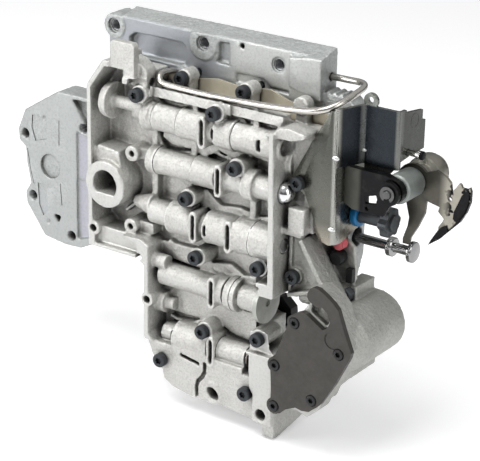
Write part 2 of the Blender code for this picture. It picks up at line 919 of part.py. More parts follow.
SIDE_FLANGE = [(73.6, -61), (73.6, -13), (86, -12.5), (89.5, -13.2), (94.5, -26), (98, -38), (105, -48)]
SIDE_FLANGE += [(112, -50), (112, ACC_TOP_ROOT), (93, ACC_TOP_ROOT), (86, -55), (80, -61)]
prism("side_flange", SIDE_FLANGE, "Y", -46, CASTING_BACK, shell)
rod("side_flange_boss", "Y", SIDE_SCREW, 6.0, -49.5, -30, shell, 20)
prism("gusset_a", strip([(87.5, -12.8), (101, -33.9), (114.6, -55)], 3.4), "Y", -56, -36, shell)
prism("gusset_b", strip([(76, -58), (90, -53), (101, -50)], 3.0), "Y", -53, -40, shell)
prism("gusset_c", strip([(75.4, -14), (75.2, -60)], 3.0), "Y", -49.2, -40, shell)
rod("inlet_barrel", "X", (-44, -58), 6, 84, 104, shell, 20)
NECK_WALL = [
    (97.2, -26),
    (98.4, -16),
    (110, -16),
    (114.5, -20.2),
    (116.6, -43.2),
    (113, -54),
    (103, -56),
    (95, -50),
    (89.7, -46),
]
NECK_FRONT = -27.0
prism("neck_wall", NECK_WALL, "Y", NECK_FRONT, CASTING_BACK, shell)
block("top_bar", (106.5, 118), (-28.4, -3), (-64, -49.5), shell)
block("lower_rib", (104, 124.6), (-41, -8), (-113.6, -96), shell)
LOWER_STEP = [
    (100, -100),
    (126, -103),
    (124.4, -112.6),
    (116, -121.8),
    (113, -130),
    (104, -133),
    (96, -124),
]
prism("lower_step", LOWER_STEP, "Y", -51.2, -39.4, shell)
block("rear_lug", (86, 104), (-22, -3), (-94, -72), shell)
join(housing, shell)
shell_cuts = group("housing_cuts")
rod("accumulator_bore", "Y", ACC_AXIS, ACC_BORE_R, -70, -8, shell_cuts, 36)
rod("accumulator_vent", "Y", ACC_AXIS, 3, -10, 2, shell_cuts, 16)
for index, (x, z) in enumerate(COVER_SCREWS):
    rod(f"cover_thread_{index}", "Y", (x, z), 1.9, -70, -60, shell_cuts, 8)
rod("side_screw_hole", "Y", SIDE_SCREW, SHANK_HOLE_R, -60, -20, shell_cuts, 16)
rod("inlet_hole", "X", (-44, -58), 3, 80, 96, shell_cuts, 16)
HOOK_RECESS = [
    (105.2, -58.2),
    (111.7, -62),
    (117.6, -65.4),
    (120, -63.4),
    (118.8, -51.6),
    (110.6, -52),
    (106.2, -49.6),
]
prism("hook_recess", HOOK_RECESS, "Y", -70, -60.6, shell_cuts)
rod("bar_socket", "Y", (112.2, -54.8), 3.6, -34, -22, shell_cuts, 14)
cut(housing, shell_cuts)
material(housing, "cast_aluminium_accumulator", (0.60, 0.60, 0.58), 0.7, 0.5)

cover = prism("accumulator_cover", COVER_OUTLINE, "Y", COVER_FRONT, COVER_BACK, parts)
cover_raised = group("cover_raised")
for index, (x, z) in enumerate(COVER_SCREWS):
    rod(f"cover_lobe_{index}", "Y", (x, z), 6.2, COVER_FRONT + 0.02, COVER_BACK - 0.02, cover_raised, 14)
join(cover, cover_raised)
cover_cuts = group("cover_cuts")
for index, (x, z) in enumerate(COVER_SCREWS):
    rod(f"cover_sink_{index}", "Y", (x, z), 4.5, -80, COVER_FRONT + 1.6, cover_cuts, 14)
    rod(f"cover_hole_{index}", "Y", (x, z), 1.9, -80, -60, cover_cuts, 8)
rod("cover_spot", "Y", (126.2, -72.6), 6.4, -80, COVER_FRONT + 0.5, cover_cuts, 24)
cut(cover, cover_cuts)
material(cover, "dark_anodised_cover", (0.055, 0.052, 0.046), 0.6, 0.42)

PISTON_PROFILE = [
    (-52, 0),
    (-52, PISTON_R - 5.7),
    (-49, PISTON_R),
    (-47, PISTON_R),
    (-47, PISTON_R - 1.4),
    (-45, PISTON_R - 1.4),
    (-45, PISTON_R),
    (-38, PISTON_R),
    (-38, PISTON_SPIGOT_R),
    (-30, PISTON_SPIGOT_R),
    (-30, 0),
]
piston = turned("accumulator_piston", "Y", ACC_AXIS, PISTON_PROFILE, parts, 24)
material(piston, "piston_aluminium", (0.55, 0.56, 0.57), 0.9, 0.3)


def spring(name, axis, centre, start, end, radius, wire, turns, colour):
    """A coil with flat-pitched ends between two values along an axis."""
    curve = bpy.data.curves.new(name, "CURVE")
    curve.dimensions = "3D"
    curve.bevel_depth = wire * MM
    curve.bevel_resolution = 1
    curve.use_fill_caps = True
    line = curve.splines.new("POLY")
    per_turn = 8
    count = int(turns * per_turn) + 1
    line.points.add(count - 1)
    low = start + wire + 0.1
    high = end - wire - 0.1
    for index in range(count):
        share = index / (count - 1)
        angle = share * turns * 2 * math.pi
        a = centre[0] + radius * math.cos(angle)
        b = centre[1] + radius * math.sin(angle)
        point = place(a, b, low + (high - low) * share, axis)
        line.points[index].co = (*point, 1.0)
    obj = bpy.data.objects.new(name, curve)
    parts.objects.link(obj)
    material(obj, f"{name}_steel", colour, 1.0, 0.3)
    return obj


spring("accumulator_spring", "Y", ACC_AXIS, -37.7, -8.3, ACC_BORE_R - 4.6, 1.6, 4, (0.45, 0.46, 0.48))


# Spools, springs and plugs in the rows
for index, row in enumerate(ROWS):
    number = index + 1
    start = row["bore"][0] + FIT + SPRING_LENGTH + FIT
    end = row["spool_end"]
    length = end - start
    lands = [(0.0, 0.2), (0.42, 0.6), (0.86, 1.0)]
    profile = [(start, 0)]
    for low, high in lands:
        a = start + low * length
        b = start + high * length
        if low:
            profile.append((a, SPOOL_WAIST_R))
        profile.append((a, SPOOL_R))
        profile.append((b, SPOOL_R))
        if high < 1:
            profile.append((b, SPOOL_WAIST_R))
    profile.append((end, 0))
    spool = turned(f"spool_valve_{number}", "X", (BORE_Y, row["z"]), profile, parts, 12)
    set_origin(spool, start, BORE_Y, row["z"])
    material(spool, f"spool_steel_{number}", (0.50, 0.51, 0.53), 1.0, 0.25)
    coil_start = row["bore"][0] + FIT
    spring(
        f"valve_spring_{number}",
        "X",
        (BORE_Y, row["z"]),
        coil_start,
        coil_start + SPRING_LENGTH,
        4.1,
        0.6,
        4,
        (0.42, 0.43, 0.45),
    )

plug_1 = rod("bore_plug_1", "X", (BORE_Y, 51), SPOOL_R, 60, 64.5, parts, 20)
material(plug_1, "plug_aluminium_1", (0.5, 0.5, 0.5), 0.9, 0.35)
DOME = [
    (62, 0),
    (62, SPOOL_R),
    (70.4, SPOOL_R),
    (70.4, 8),
    (73, 8),
    (75.6, 6.9),
    (77.6, 4.6),
    (78.6, 2),
    (78.8, 0),
]
plug_2 = turned("bore_plug_2", "X", (BORE_Y, 18), DOME, parts, 18)
material(plug_2, "bright_plug", (0.75, 0.76, 0.78), 1.0, 0.08)
plug_3 = rod("bore_plug_3", "X", (BORE_Y, -22), SPOOL_R, 66, 72.2, parts, 20)
material(plug_3, "plug_aluminium_3", (0.5, 0.5, 0.5), 0.9, 0.35)
COVER_D = [
    (50, 0),
    (50, SPOOL_R),
    (56.4, SPOOL_R),
    (56.4, 15),
    (59.6, 15),
    (59.6, 2.4),
    (58.2, 2.4),
    (58.2, 0),
]
end_cover = turned("bore_end_cover", "X", (BORE_Y, -69), COVER_D, parts, 32)
material(end_cover, "end_cover_zinc", (0.42, 0.43, 0.40), 0.8, 0.45)
RING_Z = -115.5
ring_outline = arc((BORE_Y, RING_Z), 7.6, 120, 420, 20) + arc((BORE_Y, RING_Z), 5.8, 420, 120, 20)
ring = prism("snap_ring", ring_outline, "X", 45.7, 47.2, parts)
material(ring, "ring_spring_steel", (0.16, 0.14, 0.13), 0.9, 0.4)


# Screws
def screw(name, x, z, seat, length, head_radius, head_height, shank_radius, colour):
    profile = [
        (seat - head_height, 0),
        (seat - head_height, head_radius),
        (seat, head_radius),
        (seat, shank_radius),
        (seat + length, shank_radius),
        (seat + length, 0),
    ]
    made = turned(name, "Y", (x, z), profile, parts, 12)
    socket = group(f"{name}_socket")
    rod(f"{name}_recess", "Y", (x, z), 2.1, seat - head_height - 3, seat - head_height + 2, socket, 6)
    cut(made, socket)
    material(made, f"{name}_black_steel", colour, 0.8, 0.35)
    set_origin(made, x, seat, z)
    return made


BLACK_STEEL = (0.055, 0.06, 0.07)
for index, (x, z) in enumerate(FRONT_SCREWS):
    seat = BOSS_FRONT - FIT if z > -130 else LAND_FRONT - FIT
    reach = 46.0 if through_bolt(x, z) else 20.0
    screw(f"front_screw_{index + 1:02d}", x, z, seat, reach, HEAD_R, HEAD_HEIGHT, SHANK_R, BLACK_STEEL)
for index, (x, z) in enumerate(UPPER_SCREWS):
    screw(
        f"front_screw_{index + 11}",
        x,
        z,
        UPPER_BOSS_FRONT - FIT,
        22,
        HEAD_R,
        HEAD_HEIGHT,
        SHANK_R,
        BLACK_STEEL,
    )
screw("side_screw_1", BRACKET_SCREW[0], BRACKET_SCREW[1], -49.5 - FIT, 36, 5.2, 4.6, SHANK_R, BLACK_STEEL)
screw("side_screw_2", SIDE_SCREW[0], SIDE_SCREW[1], -49.5 - FIT, 36, 5.4, 4.8, SHANK_R, BLACK_STEEL)
for index, (x, z) in enumerate(COVER_SCREWS):
    screw(f"cover_screw_{index + 1}", x, z, COVER_FRONT + 1.6 - FIT, 8.6, 4.0, 2.4, 1.6, (0.04, 0.04, 0.04))


# Feed tube
tube_curve = bpy.data.curves.new("boost_tube", "CURVE")
tube_curve.dimensions = "3D"
tube_curve.bevel_depth = TUBE_R * MM
tube_curve.bevel_resolution = 3
tube_curve.use_fill_caps = True
tube_line = tube_curve.splines.new("POLY")
TUBE_PATH = [
    (-40.9, -25, 76.7),
    (-41.1, -29, 78.4),
    (-41.3, -34, 80),
    (-41.5, -40, 80.8),
    (-41.6, -46, 80.2),
    (-40, -50, 78),
    (-37, -51, 76.2),
    (-32.2, -51, 75.4),
    (-18.6, -51, 75.1),
    (8.3, -51, 75.1),
    (24.8, -51, 75.7),
    (41, -51, 76.3),
    (57, -51, 77.3),
    (72.8, -51, 78.5),
    (88.3, -51, 80.4),
    (96, -50.4, 82),
    (101.4, -48.4, 83.6),
    (105.2, -44.6, 85.6),
    (107.9, -39, 87.6),
    (109.5, -32, 89.8),
    (110.6, -24, 91.6),
    (109.8, -16, 92.6),
    (106, -10.6, 93.2),
    (99.6, -7.6, 93),
    (91, -7, 92.4),
    (74, -7, 92.2),
]
tube_line.points.add(len(TUBE_PATH) - 1)
for index, point in enumerate(TUBE_PATH):
    tube_line.points[index].co = (*(Vector(point) * MM), 1.0)
tube = bpy.data.objects.new("boost_tube", tube_curve)
parts.objects.link(tube)
material(tube, "tube_steel", (0.58, 0.55, 0.48), 1.0, 0.22)


# Adjuster bracket: one folded sheet
SHEET = 2.5
PANEL_BACK = -47.0
panel = prism(
    "adjuster_bracket",
    [
        (110.4, 84),
        (105.7, 83.6),
        (90.9, 58.5),
        (74.1, 27.3),
        (86.6, 18.8),
        (94.1, 3),
        (95.6, -6),
        (99, -11.5),
        (106.3, -13.6),
        (110.4, -13),
    ],
    "Y",
    PANEL_BACK - SHEET,
    PANEL_BACK,
    parts,
)
folds = group("bracket_folds")
prism(
    "lower_panel",
    [(-49.4, -13), (-40, -14), (-14, -8), (-10, -2), (-10, 44), (-49.4, 44)],
    "X",
    110.4 - SHEET,
    110.35,
    folds,
)
TONGUE = [(109.1, -48.6), (118, -26.3), (145.3, -26.3), (145.3, 6)]
prism("tongue", strip(TONGUE, SHEET), "Z", 43.4, 85, folds)
EAR = (122.6, 88.4)
rod("ear", "Y", EAR, 5.6, -27.4, -25.2, folds, 24)
prism(
    "third_panel_low",
    [(119.6, 45), (119.6, 38.6), (139, 38.8), (142, 42.6), (143.6, 45)],
    "Y",
    -27.5,
    -25.1,
    folds,
)
join(panel, folds)
bracket_cuts = group("bracket_cuts")
prism(
    "flange_taper_top",
    [(-20, 90), (-20, 83), (2, 80), (2, 72), (12, 72), (12, 90)],
    "X",
    140,
    152,
    bracket_cuts,
)
prism(
    "flange_taper_low",
    [(-24.9, 40), (-24.9, 49.2), (-14, 50.4), (12, 51.5), (12, 40)],
    "X",
    140,
    152,
    bracket_cuts,
)
rod("ear_hole", "Y", (EAR[0], EAR[1] + 0.8), 2.2, -30, -20, bracket_cuts, 16)
rod("bracket_screw_hole", "Y", BRACKET_SCREW, SHANK_HOLE_R, -55, -40, bracket_cuts, 16)
STOP_Y = -16.0
STOP_Z = 54.0
rod("stop_screw_hole", "X", (STOP_Y, STOP_Z), 2.6, 140, 150, bracket_cuts, 16)
LINE_Y = -22.5
LINE_Z = 3.0
rod("line_screw_hole", "X", (LINE_Y, LINE_Z), 5.3, 100, 114, bracket_cuts, 20)
cut(panel, bracket_cuts)
material(panel, "bracket_dark_steel", (0.14, 0.13, 0.115), 0.95, 0.3)

stop_profile = [
    (132, 0),
    (132, 2.2),
    (143.5, 2.2),
    (154, 2.2),
    (154, 3.1),
    (158.6, 3.1),
    (159.4, 2.4),
    (159.4, 0),
]
stop_screw = turned("throttle_stop_screw", "X", (STOP_Y, STOP_Z), stop_profile, parts, 16)
set_origin(stop_screw, 146, STOP_Y, STOP_Z)
material(stop_screw, "stop_screw_steel", (0.36, 0.36, 0.36), 1.0, 0.25)


# Line pressure screw and its collar
collar_profile = [(111, 5.4), (111, 7.9), (112.2, 8.6), (115.6, 8.6), (116.5, 7.8), (116.5, 5.4)]
adjuster_collar = turned("adjuster_collar", "X", (LINE_Y, LINE_Z), collar_profile, parts, 24, True)
material(adjuster_collar, "collar_blue", (0.008, 0.16, 0.42), 0.3, 0.35)
line_profile = [(106.3, 0), (106.3, 5.0), (134, 5.0), (134, 6), (136, 6), (136, 0)]
line_screw = turned("line_pressure_screw", "X", (LINE_Y, LINE_Z), line_profile, parts, 20)
knob = group("line_screw_knob")
LOBES = []
for step in range(36):
    angle = 2 * math.pi * step / 36
    radius = 9.6 + 1.1 * math.cos(6 * angle)
    LOBES.append((LINE_Y + radius * math.cos(angle), LINE_Z + radius * math.sin(angle)))
prism("knob_disc", LOBES, "X", 135.2, 141.6, knob)
rod("knob_hub", "X", (LINE_Y, LINE_Z), 6, 141, 143.6, knob, 20)
join(line_screw, knob)
set_origin(line_screw, 120, LINE_Y, LINE_Z)
material(line_screw, "line_screw_dark", (0.10, 0.11, 0.115), 0.7, 0.4)


# Manual valve
MANUAL_LAND_R = MANUAL_BORE_R - FIT
manual_profile = [
    (48, 0),
    (48, MANUAL_LAND_R),
    (60, MANUAL_LAND_R),
    (60, 3.5),
    (74, 3.5),
    (74, MANUAL_LAND_R),
    (90, MANUAL_LAND_R),
    (90, 3.5),
    (132.2, 3.5),
    (132.2, 6.2),
    (133, 7.0),
    (136.2, 7.0),
    (137, 6.2),
    (137, 3.5),
    (150, 3.5),
    (150, 7.6),
    (152.6, 7.6),
    (153.2, 7.0),
    (153.2, 0),
]
manual_valve = turned("manual_valve", "X", (MANUAL_Y, MANUAL_Z), manual_profile, parts, 16)
set_origin(manual_valve, 100, MANUAL_Y, MANUAL_Z)
material(manual_valve, "manual_valve_steel", (0.30, 0.30, 0.30), 1.0, 0.18)


# Shaft group
SHAFT_X = 148.5
SHAFT_Z = 32.0
THROTTLE_R = 3.0
THROTTLE_BORE_R = THROTTLE_R + FIT
SPIGOT_R = 6.0
SPIGOT_HOLE_R = SPIGOT_R + FIT
LEVER_FRONT = -9.7
LEVER_BACK = -7.2
shaft_profile = [
    (-38.6, THROTTLE_BORE_R),
    (-38.6, SPIGOT_R),
    (-32.4, SPIGOT_R),
    (-32.4, 9.6),
    (-31.2, 10.5),
    (-12, 10.5),
    (-10, 9.6),
    (-10, SPIGOT_R),
    (4.6, SPIGOT_R),
    (4.6, THROTTLE_BORE_R),
]
manual_shaft = turned("manual_shaft", "Y", (SHAFT_X, SHAFT_Z), shaft_profile, parts, 20, True)
set_origin(manual_shaft, SHAFT_X, -20, SHAFT_Z)
material(manual_shaft, "shaft_zinc_steel", (0.44, 0.45, 0.44), 0.9, 0.32)

LEVER_OUTLINE = [
    (142.3, 22),
    (144.6, 12.4),
    (146.7, 4.9),
    (145.8, -1.9),
    (142.6, -11.5),
    (142.6, -15.4),
    (147.9, -15.4),
    (148.4, -10.7),
    (153.9, -0.9),
    (158.6, 9.9),
    (159.4, 19.9),
    (170, 17.7),
    (169, 14.4),
    (173.8, 9.9),
    (172.8, 7.6),
    (170, 3.4),
    (170, 1.3),
    (164.5, -7.9),
    (162.5, -12),
    (171, -5.7),
    (178.6, 2.4),
    (186.2, 10.4),
    (190.6, 18),
    (193.2, 26.2),
    (193.2, 33.8),
    (192, 36.6),
    (189.4, 35),
    (186.2, 35.2),
    (185.4, 37.1),
    (183.9, 37.9),
    (181.4, 34.1),
    (178.4, 30.4),
    (177.4, 36.7),
    (174, 40),
    (166, 43.4),
]
LEVER_OUTLINE += arc((SHAFT_X, SHAFT_Z), 12.5, 40, 220, 12)
lever = prism("manual_lever", LEVER_OUTLINE, "Y", LEVER_FRONT, LEVER_BACK, parts)
lever_cuts = group("lever_cuts")
rod("lever_shaft_hole", "Y", (SHAFT_X, SHAFT_Z), SPIGOT_HOLE_R, -14, -2, lever_cuts, 24)
rod("lever_small_hole", "Y", (177.5, 25), 1.6, -14, -2, lever_cuts, 12)
cut(lever, lever_cuts)
set_origin(lever, SHAFT_X, LEVER_FRONT, SHAFT_Z)
material(lever, "lever_steel", (0.40, 0.38, 0.35), 0.95, 0.32)

PAD_THICKNESS = 0.8
upper_pad = prism(
    "contact_pad_upper",
    [
        (184.2, 10),
        (189.6, 18.6),
        (192.2, 26.4),
        (192.2, 33),
        (190.6, 34.4),
        (187, 30.5),
        (184.4, 24),
        (181.6, 17.4),
        (181.2, 12),
    ],
    "Y",
    LEVER_FRONT - GAP - PAD_THICKNESS,
    LEVER_FRONT - GAP,
    parts,
)
set_origin(upper_pad, SHAFT_X, LEVER_FRONT, SHAFT_Z)
material(upper_pad, "pad_black_upper", (0.012, 0.012, 0.014), 0.0, 0.35)
lower_pad = prism(
    "contact_pad_lower",
    [(164.2, -10), (170.6, -4.6), (177.6, 2.6), (176.4, 6), (172.6, 4), (170.8, 1.6), (166.5, -5.5)],
    "Y",
    LEVER_FRONT - GAP - PAD_THICKNESS,
    LEVER_FRONT - GAP,
    parts,
)
set_origin(lower_pad, SHAFT_X, LEVER_FRONT, SHAFT_Z)
material(lower_pad, "pad_black_lower", (0.012, 0.012, 0.014), 0.0, 0.35)

bush_profile = [
    (-6.9, SPIGOT_HOLE_R),
    (-6.9, 9.6),
    (-3, 10.4),
    (-1.6, 9.2),
    (2, 9.2),
    (4, 13.4),
    (15, 13.8),
    (19, 11.8),
    (22, 7),
    (22.6, THROTTLE_BORE_R),
    (5.2, THROTTLE_BORE_R),
    (5.2, SPIGOT_HOLE_R),
]
bush = turned("shaft_bush", "Y", (SHAFT_X, SHAFT_Z), bush_profile, parts, 20, True)
set_origin(bush, SHAFT_X, 0, SHAFT_Z)
material(bush, "bush_bronze_grey", (0.42, 0.38, 0.32), 0.85, 0.4)

throttle_profile = [(-46, 0), (-46, 2.6), (-45.4, THROTTLE_R), (26, THROTTLE_R), (27.6, 2.2), (27.6, 0)]
throttle_shaft = turned("throttle_shaft", "Y", (SHAFT_X, SHAFT_Z), throttle_profile, parts, 20)
set_origin(throttle_shaft, SHAFT_X, -20, SHAFT_Z)
material(throttle_shaft, "throttle_shaft_steel", (0.40, 0.40, 0.38), 0.95, 0.3)
THROTTLE_LEVER = [
    (140.6, 28.2),
    (139.4, 22),
    (131, 21.2),
    (129.4, 17.8),
    (131.5, 14.6),
    (145.5, 15.2),
    (150.5, 23.8),
]
THROTTLE_LEVER += arc((SHAFT_X, SHAFT_Z), 8.5, -70, 190, 14)
throttle_lever = prism("throttle_lever", THROTTLE_LEVER, "Y", -43.2, -40.2, parts)
throttle_cuts = group("throttle_lever_cuts")
rod("throttle_lever_hole", "Y", (SHAFT_X, SHAFT_Z), THROTTLE_BORE_R, -50, -36, throttle_cuts, 20)
rod("throttle_pin_hole", "Y", (132.6, 17.9), 1.6, -50, -36, throttle_cuts, 12)
cut(throttle_lever, throttle_cuts)
set_origin(throttle_lever, SHAFT_X, -42, SHAFT_Z)
material(throttle_lever, "throttle_lever_dark", (0.05, 0.05, 0.05), 0.8, 0.38)
clip_outline = arc((SHAFT_X, SHAFT_Z), 5.6, -60, 240, 18) + arc(
    (SHAFT_X, SHAFT_Z),
    THROTTLE_BORE_R,
    240,
    -60,
    18,
)
clip = prism("retaining_clip", clip_outline, "Y", -44.6, -43.5, parts)
set_origin(clip, SHAFT_X, -44, SHAFT_Z)
material(clip, "clip_spring_steel", (0.18, 0.18, 0.18), 1.0, 0.3)

SUPPORT_OUTLINE = [(110.75, 42.6), (110.75, 16), (118, 12.6), (133, 12.2), (142, 15), (145.5, 22)]
SUPPORT_OUTLINE += arc((SHAFT_X, SHAFT_Z), 8.6, -80, 80, 10)
SUPPORT_OUTLINE += [(144, 42.6)]
support = prism("shaft_support", SUPPORT_OUTLINE, "Y", -38.2, -32.7, parts)
support_cuts = group("support_cuts")
rod("support_shaft_hole", "Y", (SHAFT_X, SHAFT_Z), SPIGOT_HOLE_R, -42, -28, support_cuts, 24)
prism(
    "support_window",
    [(127.9, 18.1), (139, 19.7), (136.4, 26.8), (127.6, 24.2)],
    "Y",
    -42,
    -28,
    support_cuts,
)
cut(support, support_cuts)
material(support, "support_dark_steel", (0.06, 0.06, 0.058), 0.85, 0.4)


# Small pieces between casting and accumulator
PLUG_BACK = NECK_FRONT - GAP
pink = rod("pink_plug", "Y", (105, -18.4), 4.2, -34, PLUG_BACK, parts, 20)
material(pink, "pink_plastic", (0.62, 0.12, 0.14), 0.0, 0.4)
DARK_PROFILE = [
    (-36, 0),
    (-36, 4.6),
    (-34.6, 5.4),
    (-31, 5.4),
    (-31, 4.8),
    (PLUG_BACK, 4.8),
    (PLUG_BACK, 0),
]
dark = turned("dark_plug", "Y", (104.4, -28.6), DARK_PROFILE, parts, 20)
material(dark, "black_plastic_plug", (0.015, 0.015, 0.017), 0.0, 0.35)
sensor = block("terminal_block", (111, 116), (-31.5, PLUG_BACK), (-46, -35.7), parts)
material(sensor, "black_plastic_terminal", (0.02, 0.02, 0.02), 0.0, 0.45)
STOP_DISC = [(36, -78), (50.8, -77.6), (58.8, -84.9), (59.5, -91.2), (53.9, -102.5), (48, -104), (36, -101)]
solenoid = prism("black_stop_disc", STOP_DISC, "Y", -21, -12.3, parts)
material(solenoid, "black_plastic_disc", (0.012, 0.012, 0.014), 0.0, 0.4)
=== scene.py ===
"""Looks of the automatic transmission valve body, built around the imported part.

The three castings are cast again from the part's own solids with fillets and soft edges.
Screws, turned pieces, feed tube and bracket are modelled finer. The rest keeps its solids, some of
them with fine edges. Sizes and places are in millimetres, which MM turns into metres, but for the lamps
and the floor.
"""

import json
import math

import bmesh
import bpy
import numpy as np
from mathutils import Matrix, Vector


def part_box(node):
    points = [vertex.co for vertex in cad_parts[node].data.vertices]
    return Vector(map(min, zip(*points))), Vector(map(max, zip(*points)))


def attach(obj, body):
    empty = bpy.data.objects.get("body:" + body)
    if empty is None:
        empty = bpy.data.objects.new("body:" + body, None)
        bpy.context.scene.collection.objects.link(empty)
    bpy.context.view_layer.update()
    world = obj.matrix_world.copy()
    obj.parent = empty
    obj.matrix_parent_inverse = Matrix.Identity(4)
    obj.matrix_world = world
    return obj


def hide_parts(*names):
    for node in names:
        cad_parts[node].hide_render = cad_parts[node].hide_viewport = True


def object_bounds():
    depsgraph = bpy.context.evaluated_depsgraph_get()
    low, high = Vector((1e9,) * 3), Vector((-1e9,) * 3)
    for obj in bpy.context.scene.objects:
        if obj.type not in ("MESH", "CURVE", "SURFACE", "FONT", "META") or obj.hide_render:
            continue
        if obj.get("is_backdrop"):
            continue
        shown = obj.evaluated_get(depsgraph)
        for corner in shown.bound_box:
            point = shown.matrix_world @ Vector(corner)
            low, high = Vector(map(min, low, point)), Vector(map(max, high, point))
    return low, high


MM = 0.001

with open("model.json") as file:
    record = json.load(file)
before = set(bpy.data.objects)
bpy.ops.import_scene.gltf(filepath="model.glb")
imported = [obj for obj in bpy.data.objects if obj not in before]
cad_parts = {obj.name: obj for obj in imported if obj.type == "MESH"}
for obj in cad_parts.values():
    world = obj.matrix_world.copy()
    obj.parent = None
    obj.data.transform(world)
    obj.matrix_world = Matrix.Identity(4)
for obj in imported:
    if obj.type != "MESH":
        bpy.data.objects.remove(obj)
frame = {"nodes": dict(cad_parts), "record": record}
cad_box = [list(corner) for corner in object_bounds()]
scene = bpy.context.scene
nodes = frame["nodes"]


# Camera at the photograph's angle
AZIMUTH = math.radians(35.2)
ELEVATION = math.radians(21.8)
ROLL = math.radians(1.0)
FOCAL_PIXELS = 1830.0
IMAGE_WIDTH = 480.0
IMAGE_MIDDLE = (240.0, 230.5)
AIM_POINT = Vector((0.0, -66.0, 0.0)) * MM
AIM_PIXEL = (190.0, 200.0)
AIM_DEPTH = 1300.0 * MM
SENSOR = 36.0


def place_camera():
    """A camera that sees the aiming point at the aiming pixel."""
    sin_across = math.sin(AZIMUTH)
    cos_across = math.cos(AZIMUTH)
    sin_down = math.sin(ELEVATION)
    cos_down = math.cos(ELEVATION)
    level = Vector((cos_across, sin_across, 0))
    rise = Vector((-sin_across * sin_down, cos_across * sin_down, cos_down))
    ahead = Vector((-sin_across * cos_down, cos_across * cos_down, -sin_down))
    right = level * math.cos(ROLL) + rise * math.sin(ROLL)
    up = rise * math.cos(ROLL) - level * math.sin(ROLL)
    ray = ahead
    ray = ray + right * ((AIM_PIXEL[0] - IMAGE_MIDDLE[0]) / FOCAL_PIXELS)
    ray = ray - up * ((AIM_PIXEL[1] - IMAGE_MIDDLE[1]) / FOCAL_PIXELS)
    data = bpy.data.cameras.new("camera")
    data.sensor_width = SENSOR
    data.lens = FOCAL_PIXELS / IMAGE_WIDTH * SENSOR
    data.clip_start = 0.05
    data.clip_end = 50
    camera = bpy.data.objects.new("camera", data)
    scene.collection.objects.link(camera)
    turn = Matrix((right, up, -ahead)).transposed()
    camera.matrix_world = Matrix.Translation(AIM_POINT - ray * AIM_DEPTH) @ turn.to_4x4()
    scene.camera = camera


place_camera()


# Light: a large lamp above, a second one at the front left and a weak one at the right.
# Each has its place, its size and its power. The room is what metal reflects.
LAMPS = {
    "lamp_above": ((-0.15, -0.45, 1.25), (0.9, 0.8), 15),
    "lamp_right": ((1.25, -0.35, 0.45), (0.4, 0.9), 3.5),
    "lamp_left": ((-0.9, -1.1, 0.45), (0.5, 0.7), 9),
}
ROOM_STRENGTH = 0.55
ROOM_BANDS = [(0.0, 0.75), (0.40, 0.62), (0.50, 0.16), (0.60, 0.22), (0.72, 0.9), (1.0, 1.0)]
FLOOR_REACH = 4.0
FLOOR_DROP = 0.3 * MM
FLOOR_LIFT = 0.36
scene.view_settings.view_transform = "Standard"
TARGET = Vector((-10, -30, -30)) * MM


def lamp(name, place, size, power):
    data = bpy.data.lights.new(name, "AREA")
    data.shape = "RECTANGLE"
    data.size = size[0]
    data.size_y = size[1]
    data.energy = power
    obj = bpy.data.objects.new(name, data)
    scene.collection.objects.link(obj)
    obj.location = place
    obj.rotation_euler = (TARGET - Vector(place)).to_track_quat("-Z", "Y").to_euler()
    obj.visible_camera = False


for name, (place, size, power) in LAMPS.items():
    lamp(name, place, size, power)


def seen_directly(tree):
    """One where a ray comes from the camera or through clear material, else nought."""
    path = tree.nodes.new("ShaderNodeLightPath")
    first = tree.nodes.new("ShaderNodeMath")
    first.operation = "MAXIMUM"
    tree.links.new(path.outputs["Is Camera Ray"], first.inputs[0])
    tree.links.new(path.outputs["Is Transmission Ray"], first.inputs[1])
    return path, first


def world_light():
    """White to the camera, and a room of pale and dark bands to everything that reflects it."""
    world = bpy.data.worlds.new("studio")
    scene.world = world
    world.use_nodes = True
    tree = world.node_tree
    tree.nodes.clear()
    out = tree.nodes.new("ShaderNodeOutputWorld")
    path, direct = seen_directly(tree)
    white = tree.nodes.new("ShaderNodeBackground")
    white.inputs["Color"].default_value = (1, 1, 1, 1)
    room = tree.nodes.new("ShaderNodeBackground")
    room.inputs["Strength"].default_value = ROOM_STRENGTH
    where = tree.nodes.new("ShaderNodeTexCoord")
    split = tree.nodes.new("ShaderNodeSeparateXYZ")
    bands = tree.nodes.new("ShaderNodeValToRGB")
    while len(bands.color_ramp.elements) < len(ROOM_BANDS):
        bands.color_ramp.elements.new(0.5)
    for element, (position, value) in zip(bands.color_ramp.elements, ROOM_BANDS):
        element.position = position
        element.color = (value, value, value, 1)
    half = tree.nodes.new("ShaderNodeMapRange")
    half.inputs["From Min"].default_value = -1
    tree.links.new(where.outputs["Generated"], split.inputs[0])
    tree.links.new(split.outputs["Z"], half.inputs["Value"])
    tree.links.new(half.outputs["Result"], bands.inputs["Fac"])
    tree.links.new(bands.outputs["Color"], room.inputs["Color"])
    mix = tree.nodes.new("ShaderNodeMixShader")
    tree.links.new(direct.outputs[0], mix.inputs["Fac"])
    tree.links.new(room.outputs[0], mix.inputs[1])
    tree.links.new(white.outputs[0], mix.inputs[2])
    tree.links.new(mix.outputs[0], out.inputs["Surface"])


world_light()


